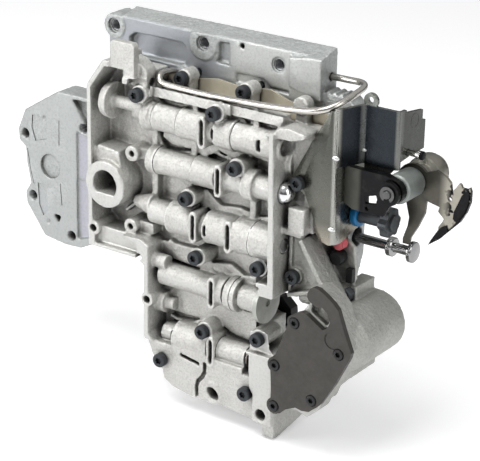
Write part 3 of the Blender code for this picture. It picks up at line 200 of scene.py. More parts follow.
def pale_floor():
    """A pale floor whose camera rays are topped up to white, so that only the shadow shows."""
    low = cad_box[0][2] - FLOOR_DROP
    shape = bmesh.new()
    corners = [(-1, -1), (1, -1), (1, 1), (-1, 1)]
    shape.faces.new([shape.verts.new((x * FLOOR_REACH, y * FLOOR_REACH, low)) for x, y in corners])
    mesh = bpy.data.meshes.new("floor")
    shape.to_mesh(mesh)
    shape.free()
    floor = bpy.data.objects.new("floor", mesh)
    scene.collection.objects.link(floor)
    made = bpy.data.materials.new("pale_floor")
    made.use_nodes = True
    tree = made.node_tree
    shader = tree.nodes["Principled BSDF"]
    shader.inputs["Base Color"].default_value = (0.80, 0.80, 0.81, 1)
    shader.inputs["Roughness"].default_value = 0.9
    shader.inputs["Specular IOR Level"].default_value = 0.1
    shader.inputs["Emission Color"].default_value = (1, 1, 1, 1)
    path, direct = seen_directly(tree)
    both = tree.nodes.new("ShaderNodeMath")
    both.operation = "MAXIMUM"
    tree.links.new(direct.outputs[0], both.inputs[0])
    tree.links.new(path.outputs["Is Glossy Ray"], both.inputs[1])
    lift = tree.nodes.new("ShaderNodeMath")
    lift.operation = "MULTIPLY"
    lift.inputs[1].default_value = FLOOR_LIFT
    tree.links.new(both.outputs[0], lift.inputs[0])
    tree.links.new(lift.outputs[0], shader.inputs["Emission Strength"])
    floor.data.materials.append(made)
    floor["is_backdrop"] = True


pale_floor()


# Materials
class Look:
    """A principled material that is put together step by step."""

    def __init__(self, name, colour, metallic, roughness):
        self.made = bpy.data.materials.new(name)
        self.made.use_nodes = True
        self.tree = self.made.node_tree
        self.shader = self.tree.nodes["Principled BSDF"]
        self.shader.inputs["Metallic"].default_value = metallic
        self.where = self.tree.nodes.new("ShaderNodeTexCoord").outputs["Object"]
        self.colour = self.rgb(colour)
        self.shader.inputs["Base Color"].default_value = (*colour, 1)
        self.shader.inputs["Roughness"].default_value = roughness
        self.rough = None
        self.base_rough = roughness
        self.normal = None

    def rgb(self, colour):
        node = self.tree.nodes.new("ShaderNodeRGB")
        node.outputs[0].default_value = (*colour, 1)
        return node.outputs[0]

    def noise(self, scale, detail=3.0, stretch=None, rough=0.55):
        node = self.tree.nodes.new("ShaderNodeTexNoise")
        node.inputs["Scale"].default_value = scale
        node.inputs["Detail"].default_value = detail
        node.inputs["Roughness"].default_value = rough
        if stretch:
            grid = self.tree.nodes.new("ShaderNodeMapping")
            grid.inputs["Scale"].default_value = stretch
            self.tree.links.new(self.where, grid.inputs["Vector"])
            self.tree.links.new(grid.outputs[0], node.inputs["Vector"])
        else:
            self.tree.links.new(self.where, node.inputs["Vector"])
        return node.outputs["Fac"]

    def ranged(self, value, low, high, to_low=0.0, to_high=1.0):
        node = self.tree.nodes.new("ShaderNodeMapRange")
        node.inputs["From Min"].default_value = low
        node.inputs["From Max"].default_value = high
        node.inputs["To Min"].default_value = to_low
        node.inputs["To Max"].default_value = to_high
        self.tree.links.new(value, node.inputs["Value"])
        return node.outputs["Result"]

    def attribute(self, name):
        node = self.tree.nodes.new("ShaderNodeAttribute")
        node.attribute_name = name
        return node.outputs["Fac"]

    def band(self, axis, low, high, to_low=0.0, to_high=1.0):
        """Runs from one value to another between two places on an axis, in millimetres."""
        node = self.tree.nodes.new("ShaderNodeSeparateXYZ")
        self.tree.links.new(self.where, node.inputs[0])
        return self.ranged(node.outputs[axis], low * MM, high * MM, to_low, to_high)

    def distance(self, point):
        """How far the surface is from a point."""
        node = self.tree.nodes.new("ShaderNodeVectorMath")
        node.operation = "DISTANCE"
        self.tree.links.new(self.where, node.inputs[0])
        node.inputs[1].default_value = Vector(point) * MM
        return node.outputs["Value"]

    def product(self, one, two):
        node = self.tree.nodes.new("ShaderNodeMath")
        node.operation = "MULTIPLY"
        self.tree.links.new(one, node.inputs[0])
        self.tree.links.new(two, node.inputs[1])
        return node.outputs[0]

    def mix_colour(self, factor, colour):
        node = self.tree.nodes.new("ShaderNodeMix")
        node.data_type = "RGBA"
        self.tree.links.new(factor, node.inputs["Factor"])
        self.tree.links.new(self.colour, node.inputs["A"])
        node.inputs["B"].default_value = (*colour, 1)
        self.colour = node.outputs["Result"]

    def mix_rough(self, factor, value):
        node = self.tree.nodes.new("ShaderNodeMix")
        self.tree.links.new(factor, node.inputs["Factor"])
        if self.rough is None:
            node.inputs["A"].default_value = self.base_rough
        else:
            self.tree.links.new(self.rough, node.inputs["A"])
        node.inputs["B"].default_value = value
        self.rough = node.outputs["Result"]

    def uneven(self, scale, value):
        """Patches of another roughness."""
        self.mix_rough(self.ranged(self.noise(scale, 3), 0.35, 0.7), value)

    def bump(self, height, distance, strength=1.0, fade=None):
        node = self.tree.nodes.new("ShaderNodeBump")
        node.inputs["Distance"].default_value = distance
        node.inputs["Strength"].default_value = strength
        if fade is not None:
            self.tree.links.new(fade, node.inputs["Strength"])
        self.tree.links.new(height, node.inputs["Height"])
        if self.normal is not None:
            self.tree.links.new(self.normal, node.inputs["Normal"])
        self.normal = node.outputs["Normal"]

    def corner_shade(self, reach, colour, low=0.35, high=0.85):
        """Painted shade, with some dirt, that gathers in corners."""
        node = self.tree.nodes.new("ShaderNodeAmbientOcclusion")
        node.samples = 6
        node.inputs["Distance"].default_value = reach
        self.mix_colour(self.ranged(node.outputs["AO"], low, high, 1.0, 0.0), colour)

    def edges(self, colour, amount=1.0, low=0.52, high=0.60):
        """Painted highlight on crests, from the surface's own curvature."""
        node = self.tree.nodes.new("ShaderNodeNewGeometry")
        painted_light = self.ranged(node.outputs["Pointiness"], low, high, 0.0, amount)
        self.mix_colour(painted_light, colour)
        return painted_light

    def done(self):
        self.tree.links.new(self.colour, self.shader.inputs["Base Color"])
        if self.rough is not None:
            self.tree.links.new(self.rough, self.shader.inputs["Roughness"])
        if self.normal is not None:
            self.tree.links.new(self.normal, self.shader.inputs["Normal"])
        return self.made


# Bands of the transfer casting that were milled, in millimetres
WING_DEEP = (-21.5, -20.8)
WING_LOW = (60, 50)
BAR_HIGH = (70, 74)
BAR_LEFT = (0, -18)
BAR_RIGHT = (-2, 6)
BAR_BLUE = (0.335, 0.35, 0.375)
BAR_GREY = (0.50, 0.51, 0.495)
DEEP_SHADE = (0.012, 0.013, 0.013)


def cast_look(name, colour, bright, dark, machined, milled=None, crest=0.9):
    """Sand-cast aluminium: speckled skin, painted shade with some dirt in corners, deeper painted shade in
    deep recesses, painted highlights on crests and flat machined faces.
    """
    look = Look(name, colour, 0.55, 0.40)
    look.mix_colour(look.ranged(look.noise(60, 4), 0.35, 0.7), tuple(c * 0.88 for c in colour))
    look.mix_colour(look.ranged(look.noise(700, 3), 0.47, 0.70, 0, 0.6), tuple(c * 0.62 for c in colour))
    look.uneven(220, 0.58)
    # Painted shade, with some dirt, in corners
    look.corner_shade(9 * MM, dark, 0.25, 0.80)
    # Painted highlight on crests, which are also made glossier
    painted_light = look.edges(bright, crest)
    look.mix_rough(painted_light, 0.3)
    # Deep painted shade in deep recesses
    look.corner_shade(30 * MM, DEEP_SHADE, 0.0, 0.30)
    flat = look.attribute("machined")
    look.mix_colour(look.ranged(flat, 0, 1, 0, 0.85), machined)
    if milled:
        deep = look.band("Y", *WING_DEEP)
        low = look.product(look.band("Z", *WING_LOW), flat)
        look.mix_colour(look.product(deep, low), milled)
        high = look.product(look.band("Z", *BAR_HIGH), flat)
        look.mix_colour(look.product(high, look.band("X", *BAR_LEFT)), BAR_BLUE)
        look.mix_colour(look.product(high, look.band("X", *BAR_RIGHT)), BAR_GREY)
    look.mix_rough(flat, 0.4)
    fine = look.ranged(look.noise(620, 3), 0.48, 0.72, 0, 0.4)
    look.mix_colour(fine, tuple(c * 0.66 for c in machined))
    fade = look.ranged(flat, 0, 1, 1.0, 0.25)
    look.bump(look.noise(1400, 3), 0.3 * MM, fade=fade)
    look.bump(look.noise(420, 2), 0.55 * MM, fade=fade)
    look.bump(look.noise(110, 2), 1.0 * MM, fade=fade)
    return look.done()


def metal_look(name, colour, rough, metallic=1.0, brushed=None, grain=0.03, dark=None):
    """Machined or plated metal with faint brushing and spots, and painted shade with some dirt in corners.
    """
    look = Look(name, colour, metallic, rough)
    look.mix_colour(look.ranged(look.noise(60, 4), 0.4, 0.75, 0, 0.8), tuple(c * 0.74 for c in colour))
    look.uneven(260, min(rough * 1.5, 0.9))
    if dark:
        # Painted shade, with some dirt, in corners
        look.corner_shade(3 * MM, dark)
    stretch = brushed or (1, 1, 1)
    look.bump(look.noise(1300, 2, stretch), grain * MM)
    look.bump(look.noise(120, 2), grain * 3 * MM)
    return look.done()


def plastic_look(name, colour, rough, shine=0.5):
    look = Look(name, colour, 0.0, rough)
    look.shader.inputs["Specular IOR Level"].default_value = shine
    paler = tuple(min(c * 1.5 + 0.004, 1) for c in colour)
    look.mix_colour(look.ranged(look.noise(90, 3), 0.4, 0.7), paler)
    look.uneven(300, rough + 0.15)
    look.bump(look.noise(1200, 2), 0.05 * MM)
    return look.done()


# Painted highlights on the bracket's folds: left, right, front, back, colour
FOLD_HIGHLIGHTS = [
    (107.0, 111.9, -52, -40, (0.36, 0.36, 0.335)),
    (117.0, 119.8, -32, -22, (0.30, 0.31, 0.30)),
    (142.6, 147.5, -30, -22, (0.17, 0.175, 0.165)),
]


def bracket_look():
    """Dark plated sheet: olive grey in front, darker at the top, lighter and browner lower down and lighter
    along its top edge. Painted shade makes the panels that face right blue black, the last flange is grey,
    and painted highlights run along the folds.
    """
    look = Look("bracket_dark", (0.080, 0.082, 0.072), 0.9, 0.24)
    look.mix_colour(look.band("Z", 55, 20, 0, 0.8), (0.135, 0.135, 0.118))
    look.mix_colour(look.band("Z", 2, -12, 0, 0.9), (0.32, 0.29, 0.24))
    # Painted shade: blue black on the panels that face right, above the lower fold
    side = look.band("X", 111.2, 112.2)
    upper = look.band("Z", 42, 44)
    look.mix_colour(look.product(side, upper), (0.026, 0.031, 0.037))
    look.mix_colour(look.band("X", 143.6, 145.6), (0.070, 0.074, 0.066))
    look.mix_colour(look.band("Z", 84.6, 85.6), (0.25, 0.26, 0.24))
    for left, right, front, back, colour in FOLD_HIGHLIGHTS:
        wide = look.product(look.band("X", left, left + 1.5), look.band("X", right, right - 1.5))
        near = look.product(look.band("Y", front, front + 1), look.band("Y", back, back - 2))
        look.mix_colour(look.product(wide, near), colour)
    look.uneven(180, 0.32)
    look.bump(look.noise(900, 2), 0.012 * MM)
    look.bump(look.noise(70, 2), 0.12 * MM)
    return look.done()


def stop_look():
    """Bright screw with a black tip."""
    look = Look("stop_screw_steel", (0.62, 0.61, 0.58), 1.0, 0.22)
    look.uneven(300, 0.36)
    tip = look.band("X", 156.6, 156.9)
    look.mix_colour(tip, (0.012, 0.012, 0.014))
    look.mix_rough(tip, 0.5)
    look.bump(look.noise(1200, 2), 0.02 * MM)
    return look.done()


LEVER_AXIS = (148.5, -8.5, 32)
COMB_REACH = (40.6, 41.6)


def lever_look():
    """Stained steel: dark near the shaft and lighter on the comb, with black patches of painted dark
    reflection on the comb and along its rim.
    """
    look = Look("lever_steel", (0.105, 0.100, 0.083), 0.85, 0.30)
    look.mix_colour(look.ranged(look.noise(85, 3), 0.45, 0.62, 0, 0.6), (0.075, 0.070, 0.060))
    look.mix_colour(look.band("X", 169, 175), (0.36, 0.34, 0.29))
    # Painted dark reflection: black patches on the comb
    reflection_patch = look.ranged(look.noise(115, 2), 0.50, 0.53)
    look.mix_colour(look.product(look.band("X", 172, 178), reflection_patch), (0.010, 0.010, 0.011))
    # Painted dark reflection along the comb's rim
    rim = look.ranged(look.distance(LEVER_AXIS), *(reach * MM for reach in COMB_REACH))
    painted_light = look.ranged(look.noise(170, 2), 0.40, 0.44)
    comb_only = look.product(painted_light, look.band("X", 158, 160))
    look.mix_colour(look.product(rim, comb_only), (0.012, 0.012, 0.013))
    look.uneven(240, 0.42)
    look.bump(look.noise(1100, 2), 0.03 * MM)
    look.bump(look.noise(140, 2), 0.10 * MM)
    return look.done()


def support_look():
    """Blackened plate that turns grey where it meets the bracket."""
    look = Look("support_dark", (0.016, 0.016, 0.017), 0.95, 0.36)
    look.mix_colour(look.band("X", 124.5, 121.5), (0.075, 0.076, 0.066))
    look.mix_colour(look.ranged(look.noise(120, 3), 0.55, 0.75, 0, 0.5), (0.050, 0.048, 0.044))
    look.uneven(240, 0.5)
    look.bump(look.noise(900, 2), 0.03 * MM)
    return look.done()


CAST_DARK = (0.11, 0.105, 0.094)
LOOKS = {
    "main": cast_look("cast_main", (0.62, 0.615, 0.585), (0.92, 0.91, 0.88), CAST_DARK, (0.56, 0.56, 0.54)),
    "transfer": cast_look(
        "cast_transfer",
        (0.47, 0.49, 0.48),
        (0.70, 0.72, 0.72),
        CAST_DARK,
        (0.40, 0.415, 0.41),
        milled=(0.42, 0.42, 0.47),
        crest=0.45,
    ),
    "accumulator": cast_look(
        "cast_accumulator",
        (0.46, 0.46, 0.43),
        (0.74, 0.74, 0.70),
        CAST_DARK,
        (0.52, 0.52, 0.50),
    ),
    "separator": metal_look("separator_tan", (0.60, 0.55, 0.44), 0.4, 0.7, dark=(0.16, 0.13, 0.09)),
    "cover": metal_look("cover_anodised", (0.064, 0.060, 0.054), 0.42, 0.5, grain=0.06),
    "piston": metal_look("piston_alloy", (0.56, 0.57, 0.58), 0.3, brushed=(1, 0.2, 1)),
    "spring": metal_look("spring_steel", (0.42, 0.43, 0.45), 0.3),
    "tube": metal_look("tube_bright", (0.58, 0.56, 0.52), 0.2, grain=0.012, dark=(0.12, 0.115, 0.10)),
    "bracket": bracket_look(),
    "support": support_look(),
    "knob": metal_look("knob_dark", (0.085, 0.093, 0.10), 0.4, 0.6, grain=0.05),
    "collar": metal_look("collar_blue", (0.006, 0.17, 0.40), 0.3, 0.3, grain=0.03),
    "stop": stop_look(),
    "manual": metal_look("manual_steel", (0.34, 0.34, 0.34), 0.15, grain=0.01),
    "shaft": metal_look("shaft_zinc", (0.30, 0.325, 0.31), 0.45, 0.7),
    "lever": lever_look(),
    "bush": metal_look("bush_bronze_grey", (0.33, 0.32, 0.275), 0.34, 0.9, dark=(0.06, 0.05, 0.04)),
    "clip": metal_look("clip_dark", (0.12, 0.12, 0.12), 0.3),
    "ring": metal_look("ring_steel", (0.16, 0.14, 0.13), 0.35, 0.95),
    # Painted highlight for the bright spheroids on the bracket's folds
    "dimple_glint": metal_look("painted_dimple_glint", (0.72, 0.73, 0.72), 0.25, 0.9),
    "end_cover": metal_look("end_cover_zinc", (0.44, 0.45, 0.42), 0.4, 0.85, grain=0.05),
    "plug": metal_look("plug_alloy", (0.5, 0.5, 0.5), 0.33, 0.95),
    "dome": metal_look("dome_bright", (0.78, 0.79, 0.80), 0.07, grain=0.004),
    "spool": metal_look("spool_steel", (0.5, 0.51, 0.53), 0.22),
    "screw": metal_look(
        "screw_black",
        (0.046, 0.051, 0.056),
        0.40,
        0.6,
        grain=0.05,
        dark=(0.003, 0.003, 0.004),
    ),
    "cover_screw": metal_look(
        "cover_screw_black",
        (0.032, 0.033, 0.034),
        0.4,
        0.6,
        dark=(0.003, 0.003, 0.003),
    ),
    "black": plastic_look("plastic_black", (0.009, 0.009, 0.010), 0.42, 0.3),
    # Black for the contact pads, sheets that stand for painted dark reflections on the comb
    "pad": plastic_look("pad_black", (0.006, 0.006, 0.007), 0.5, 0.18),
    "pink": plastic_look("plastic_pink", (0.60, 0.12, 0.14), 0.4),
}
NODE_LOOKS = {
    "separator_plate": "separator",
    "accumulator_cover": "cover",
    "accumulator_piston": "piston",
    "accumulator_spring": "spring",
    "boost_tube": "tube",
    "adjuster_bracket": "bracket",
    "shaft_support": "support",
    "line_pressure_screw": "knob",
    "adjuster_collar": "collar",
    "throttle_stop_screw": "stop",
    "manual_valve": "manual",
    "manual_shaft": "shaft",
    "manual_lever": "lever",
    # The contact pads are black sheets that stand for painted dark reflections on the comb
    "contact_pad_upper": "pad",
    "contact_pad_lower": "pad",
    "shaft_bush": "bush",
    "throttle_shaft": "clip",
    "throttle_lever": "support",
    "retaining_clip": "clip",
    "bore_end_cover": "end_cover",
    "bore_plug_1": "plug",
    "bore_plug_2": "dome",
    "bore_plug_3": "plug",
    "snap_ring": "ring",
    "pink_plug": "pink",
    "dark_plug": "black",
    "terminal_block": "black",
    "black_stop_disc": "black",
}


def dress(obj, look):
    """Gives an object one look."""
    obj.data.materials.clear()
    obj.data.materials.append(LOOKS[look])


def soften(obj, width, angle=32):
    """Rounds edges that are sharper than an angle, in degrees."""
    made = obj.modifiers.new("edges", "BEVEL")
    made.width = width * MM
    made.segments = 2
    made.limit_method = "ANGLE"
    made.angle_limit = math.radians(angle)


def look_of(name):
    """The look of a solid, by its name. Castings have none here, as they are cast again."""
    if name in NODE_LOOKS:
        return NODE_LOOKS[name]
    for part_of_name, look in (("spool_valve", "spool"), ("valve_spring", "spring"), ("screw", "screw")):
        if part_of_name in name:
            return look
    return None


for name, obj in nodes.items():
    look = look_of(name)
    if look:
        for slot in obj.material_slots:
            slot.material = LOOKS[look]


# Building blocks
WELD = 0.001 * MM
KNOT_SIDES = 10
KNOT_RISE = 0.05


def welded(node):
    """A copy of a solid's mesh with its faces joined along their edges."""
    shape = bmesh.new()
    shape.from_mesh(nodes[node].data)
    bmesh.ops.remove_doubles(shape, verts=shape.verts, dist=WELD)
    return shape


def new_object(name, shape, body="valve_body", look=None, sharp=None, instead=()):
    """Turns a shape into an object. Edges sharper than an angle stay sharp, and the rest is smooth."""
    mesh = bpy.data.meshes.new(name)
    shape.to_mesh(mesh)
    shape.free()
    mesh.shade_smooth()
    if sharp:
        mesh.set_sharp_from_angle(angle=math.radians(sharp))
    obj = bpy.data.objects.new(name, mesh)
    scene.collection.objects.link(obj)
    if look:
        dress(obj, look)
    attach(obj, body)
    if instead:
        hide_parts(*instead)
    return obj


def applied(obj):
    """Bakes an object's modifiers into its own mesh."""
    graph = bpy.context.evaluated_depsgraph_get()
    graph.update()
    mesh = bpy.data.meshes.new_from_object(obj.evaluated_get(graph))
    old = obj.data
    obj.modifiers.clear()
    obj.data = mesh
    bpy.data.meshes.remove(old)


def spokes(sides, turn=0.0):
    """Cosine and sine of angles spread evenly around a circle."""
    angles = [2 * math.pi * step / sides + turn for step in range(sides)]
    return [(math.cos(angle), math.sin(angle)) for angle in angles]


def island(vertex):
    """All faces that hang together with a vertex."""
    found = set()
    queue = list(vertex.link_faces)
    while queue:
        face = queue.pop()
        if face in found:
            continue
        found.add(face)
        for edge in face.edges:
            queue.extend(other for other in edge.link_faces if other not in found)
    return list(found)


def join_rings(shape, rings, around=False):
    """Faces between rings of vertices, with closed ends or around to the first ring again."""
    following = rings[1:] + rings[:1] if around else rings[1:]
    for first, second in zip(rings, following):
        for step in range(len(first)):
            after = (step + 1) % len(first)
            shape.faces.new((first[step], second[step], second[after], first[after]))
    if not around:
        shape.faces.new(rings[0])
        shape.faces.new(list(reversed(rings[-1])))
    bmesh.ops.recalc_face_normals(shape, faces=island(rings[0][0]))


def add_prism(shape, outline, back, front):
    """A closed X, Z outline pulled from one depth to another."""
    rings = []
    for y in (back, front):
        rings.append([shape.verts.new((x * MM, y * MM, z * MM)) for x, z in outline])
    join_rings(shape, rings)


def add_turned(shape, centre, profile, sides=40, turn=0.0):
    """A closed body turned around a line along Y, given by its X and Z, from (radius, Y) pairs."""
    rings = []
    for radius, depth in profile:
        places = [(centre[0] + radius * cos, centre[1] + radius * sin) for cos, sin in spokes(sides, turn)]
        rings.append([shape.verts.new((x * MM, depth * MM, z * MM)) for x, z in places])
    join_rings(shape, rings)


def add_band(shape, centre, x, inner, outer, width, sides=48):
    """A square-sectioned ring around a line along X, given by its Y and Z."""
    rings = []
    for radius, place in ((inner, x), (outer, x), (outer, x + width), (inner, x + width)):
        places = [(centre[0] + radius * cos, centre[1] + radius * sin) for cos, sin in spokes(sides)]
        rings.append([shape.verts.new((place * MM, y * MM, z * MM)) for y, z in places])
    join_rings(shape, rings, around=True)


def add_ring(shape, centre, radius, start, end):
    """A disc around a line along X, given by its Y and Z."""
    made = bmesh.ops.create_cone(
        shape,
        cap_ends=True,
        segments=40,
        radius1=radius * MM,
        radius2=radius * MM,
        depth=(end - start) * MM,
    )
    place = Matrix.Translation(Vector(((start + end) / 2, centre[0], centre[1])) * MM)
    bmesh.ops.transform(shape, matrix=place @ Matrix.Rotation(math.pi / 2, 4, "Y"), verts=made["verts"])


def add_ridge(shape, points, width, back, front):
    """An upright cast ridge along a line of X, Z points, with round knots that stand a little higher."""
    half = width / 2
    for first, second in zip(points, points[1:]):
        a, b = Vector(first), Vector(second)
        side = Vector((a.y - b.y, b.x - a.x)).normalized() * half
        add_prism(shape, [a + side, a - side, b - side, b + side], back, front)
    for x, z in points:
        knot = [(x + half * cos, z + half * sin) for cos, sin in spokes(KNOT_SIDES)]
        add_prism(shape, knot, back, front + KNOT_RISE)


# Castings, made again from their solids with fillets and soft edges
FILLET_PULL = 0.6
PLAIN_PULL = 0.5
PLAIN_ROUNDS = 2
PLANE_SLACK = 0.3
FACING_FRONT = -0.99
MARK_GROWTH = 3
RIPPLE_HEIGHT = 0.12
RIPPLE_WAVES = [(900, 1.0), (1700, 1.6), (3100, 2.6)]


def relax(mesh, voxel, fillet, rounds):
    """Fills inner corners to the fillet radius, then takes the edge off everything."""
    count = len(mesh.vertices)
    found = np.zeros(count * 3, np.float32)
    mesh.vertices.foreach_get("co", found)
    points = found.reshape(-1, 3).astype(float)
    edges = np.zeros(len(mesh.edges) * 2, np.int32)
    mesh.edges.foreach_get("vertices", edges)
    one, two = edges.reshape(-1, 2).T
    loops = np.zeros(len(mesh.loops), np.int32)
    mesh.loops.foreach_get("vertex_index", loops)
    quads = loops.reshape(-1, 4)
    degree = np.bincount(one, minlength=count) + np.bincount(two, minlength=count)

    def pull():
        total = np.empty_like(points)
        for axis in range(3):
            column = points[:, axis]
            total[:, axis] = np.bincount(one, column[two], count) + np.bincount(two, column[one], count)
        return total / degree[:, None] - points

    def normals():
        a, b, c, d = (points[quads[:, corner]] for corner in range(4))
        faces = np.cross(c - a, d - b)
        total = np.zeros_like(points)
        for corner in range(4):
            for axis in range(3):
                total[:, axis] += np.bincount(quads[:, corner], faces[:, axis], count)
        return total / np.maximum(np.linalg.norm(total, axis=1), 1e-12)[:, None]

    limit = voxel**2 / (4 * fillet)
    for step in range(rounds):
        move = pull()
        inward = (move * normals()).sum(1)
        points += move * (FILLET_PULL * (inward > limit))[:, None]
    for step in range(PLAIN_ROUNDS):
        points += pull() * PLAIN_PULL
    mesh.vertices.foreach_set("co", points.astype(np.float32).ravel())
    mesh.update()
    return points, normals(), one, two


def mark_machined(mesh, points, facing, one, two, planes):
    """Flat faces at the machined depths get an attribute that the cast look reads."""
    level = np.zeros(len(points), bool)
    for plane in planes:
        level |= np.abs(points[:, 1] - plane * MM) < PLANE_SLACK * MM
    flat = level & (facing[:, 1] < FACING_FRONT)
    edge = np.zeros(len(points), bool)
    edge[one[~flat[two]]] = True
    edge[two[~flat[one]]] = True
    flat &= ~edge
    for step in range(MARK_GROWTH):
        grown = flat.copy()
        grown[one[flat[two]]] = True
        grown[two[flat[one]]] = True
        flat = grown
    made = mesh.attributes.new("machined", "FLOAT", "POINT")
    made.data.foreach_set("value", flat.astype(np.float32))


def ripple(mesh, points, facing):
    """Slight unevenness of sand-cast skin, left off machined faces."""
    flat = np.zeros(len(points), np.float32)
    mesh.attributes["machined"].data.foreach_get("value", flat)
    wave = np.zeros(len(points))
    for step in range(12):
        turn = np.array([math.cos(2.4 * step), math.sin(3.7 * step), math.cos(1.3 * step + 1)])
        pitch, damping = RIPPLE_WAVES[step % 3]
        wave += np.sin(points @ turn * pitch + 1.7 * step) / damping
    points = points + facing * (wave * RIPPLE_HEIGHT * MM / 3 * (1 - flat))[:, None]
    mesh.vertices.foreach_set("co", points.astype(np.float32).ravel())
    mesh.update()


def recast(node, name, look, voxel, fillet, rounds, faces, planes, extras=()):
    """Casts a solid again from small voxels, thinned out to a number of faces."""
    shape = welded(node)
    for extra in extras:
        extra(shape)
    obj = new_object(name, shape)
    voxel = voxel * 1.0
    made = obj.modifiers.new("voxels", "REMESH")
    made.mode = "VOXEL"
    made.voxel_size = voxel * MM
    applied(obj)
    marks = relax(obj.data, voxel * MM, fillet * MM, rounds)
    mark_machined(obj.data, *marks, planes)
    ripple(obj.data, marks[0], marks[1])
    triangles = 2 * len(obj.data.polygons)
    if triangles > faces:
        thin = obj.modifiers.new("thin", "DECIMATE")
        thin.ratio = faces / triangles
        applied(obj)
    obj.data.shade_smooth()
    dress(obj, look)
    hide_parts(node)
    return obj


BORE_DEPTH = -52.0
FLOOR_DEPTH = -42.0
# Cast ridges: line of X, Z points, width, front
RIDGES = [
    ([(-48.2, 71.5), (-44.1, 65.2), (-35.7, 60), (-24.7, 58.8), (-10.4, 61.1)], 2.6, -51.5),
    ([(22.3, 61.6), (28.9, 64.6), (35.4, 62), (39.5, 58.5), (47.2, 60), (56.2, 59.1), (64, 60)], 2.6, -51),
    ([(-42, 37), (-40, 30), (-34.4, 25.5), (-23.3, 26.2), (-12.3, 28), (-11.6, 24)], 2.4, -48.5),
    (
        [
            (1.2, 36.1),
            (6.7, 33.3),
            (17.4, 30.8),
            (26, 33.4),
            (30.6, 36.6),
            (41, 41),
            (50.1, 41.2),
            (64, 38),
        ],
        2.4,
        -48.5,
    ),
    (
        [(-3.1, -7.9), (4.5, -9.1), (8.6, -12), (15.4, -8.3), (24.8, -10.1), (31.6, -11.6), (39.6, -9.8)],
        2.4,
        -49,
    ),
    ([(40, -6), (48, -8.4), (56, -6.4), (65, -8)], 2.4, -48.5),
    ([(-57.2, -17.1), (-63, -22.1), (-67.4, -25.5), (-73.2, -30)], 2.6, -47.5),
    ([(-31.5, -44.8), (-23, -48.7), (-15.9, -49.4), (-6, -47)], 2.4, -48.5),
    ([(9.9, -55.5), (16.1, -57.6), (21.7, -60.2), (29.8, -56.9), (35.9, -59.2), (46, -60.6)], 2.4, -49.5),
    ([(-30, -104.6), (-24.8, -106.2), (-8.5, -104.6), (1, -100)], 2.2, -48.5),
    ([(13, -97.6), (14, -104), (18.7, -107.4), (29.7, -108.6), (39.4, -109)], 2.2, -48.5),
    ([(-5.8, 58), (-5.8, 71.5)], 4.4, -53.0),
    ([(46.6, 58), (46.6, 71.5)], 4.8, -53.0),
]
# Rings around the barrels: height, start, end, radius
RINGS = [
    (51, -48.2, -46.6, 12.0),
    (51, -38.4, -37.0, 10.9),
    (51, -16.4, -15.0, 11.7),
    (51, 29.4, 30.8, 11.8),
    (18, -44.2, -43.0, 10.8),
    (18, -38.6, -37.2, 11.0),
    (18, -3.4, -2.0, 11.2),
    (18, 41.4, 42.8, 12.4),
    (-22, -24.6, -23.2, 12.9),
    (-22, 8.6, 9.8, 12.9),
    (-22, 34.6, 36.0, 13.9),
    (-69, 19.2, 20.4, 11.6),
    (-69, 31.0, 32.6, 13.2),
    (-69, 54.6, 56.2, 10.2),
    (-115.5, -19.0, -17.8, 12.0),
    (-115.5, 18.4, 19.6, 9.8),
]
KEPT_SHARE = 0.6
CARVED_SHARP = 48


def carve(obj, build, machined):
    """Cuts shapes that stay crisp out of a casting. Their floors count as machined or as cast.

    A cut that takes more than its share of the faces away has failed, and is left out.
    """
    shape = bmesh.new()
    build(shape)
    mesh = bpy.data.meshes.new("cutter")
    shape.to_mesh(mesh)
    shape.free()
    made = mesh.attributes.new("machined", "FLOAT", "POINT")
    made.data.foreach_set("value", np.full(len(mesh.vertices), machined, np.float32))
    cutter = bpy.data.objects.new("cutter", mesh)
    scene.collection.objects.link(cutter)
    cut = obj.modifiers.new("cut", "BOOLEAN")
    cut.operation = "DIFFERENCE"
    cut.solver = "EXACT"
    cut.object = cutter
    whole = obj.data.copy()
    applied(obj)
    if len(obj.data.polygons) < KEPT_SHARE * len(whole.polygons):
        print("cut left out on", obj.name, len(obj.data.polygons), "faces of", len(whole.polygons))
        obj.data = whole
    bpy.data.objects.remove(cutter)
    bpy.data.meshes.remove(mesh)
    obj.data.shade_smooth()
    obj.data.set_sharp_from_angle(angle=math.radians(CARVED_SHARP))


def casting_ridges(shape):
    """Thin cast ridges that stand on the floor between the barrels."""
    for points, width, front in RIDGES:
        add_ridge(shape, points, width, FLOOR_DEPTH, front)


def casting_rings(shape):
    """Raised rings around the barrels."""
    for height, start, end, radius in RINGS:
        add_ring(shape, (BORE_DEPTH, height), radius, start, end)


TOP_FLOOR = [(-38, 57), (68, 57), (68, 72), (-38, 72)]
TOP_FLOOR_FRONT = -48.0


def top_floor(shape):
    """Floor of the pocket between the first row and the upper rim."""
    add_prism(shape, TOP_FLOOR, FLOOR_DEPTH, TOP_FLOOR_FRONT)


RIM_BACK = -54.4
RIM_FRONT = -72.0
RIM_CUTS = [
    [(-42, 63.5), (8.6, 63.5), (8.6, 79), (-42, 79)],
    [(27, 63.5), (66, 63.5), (70, 69.5), (76, 69.5), (76, 79), (27, 79)],
]


def lowered_rim(shape):
    """Sets the upper rim back under the tube, except at the screw boss."""
    for outline in RIM_CUTS:
        add_prism(shape, outline, RIM_FRONT, RIM_BACK)


# Grooves around the barrels: height, start, radius
GROOVES = [
    (51, -39.3, 10.2),
    (51, -17.2, 10.2),
    (51, 31.2, 10.5),
    (18, -36.9, 9.7),
    (18, -4.2, 9.7),
    (-22, -25.4, 9.3),
    (-22, 49.0, 13.5),
    (-69, 33.2, 12.7),
    (-69, 53.6, 9.6),
    (-115.5, 20.2, 8.9),
]
GROOVE_DEPTH = 0.5
GROOVE_WIDTH = 0.6
GROOVE_CLEAR = 1.0


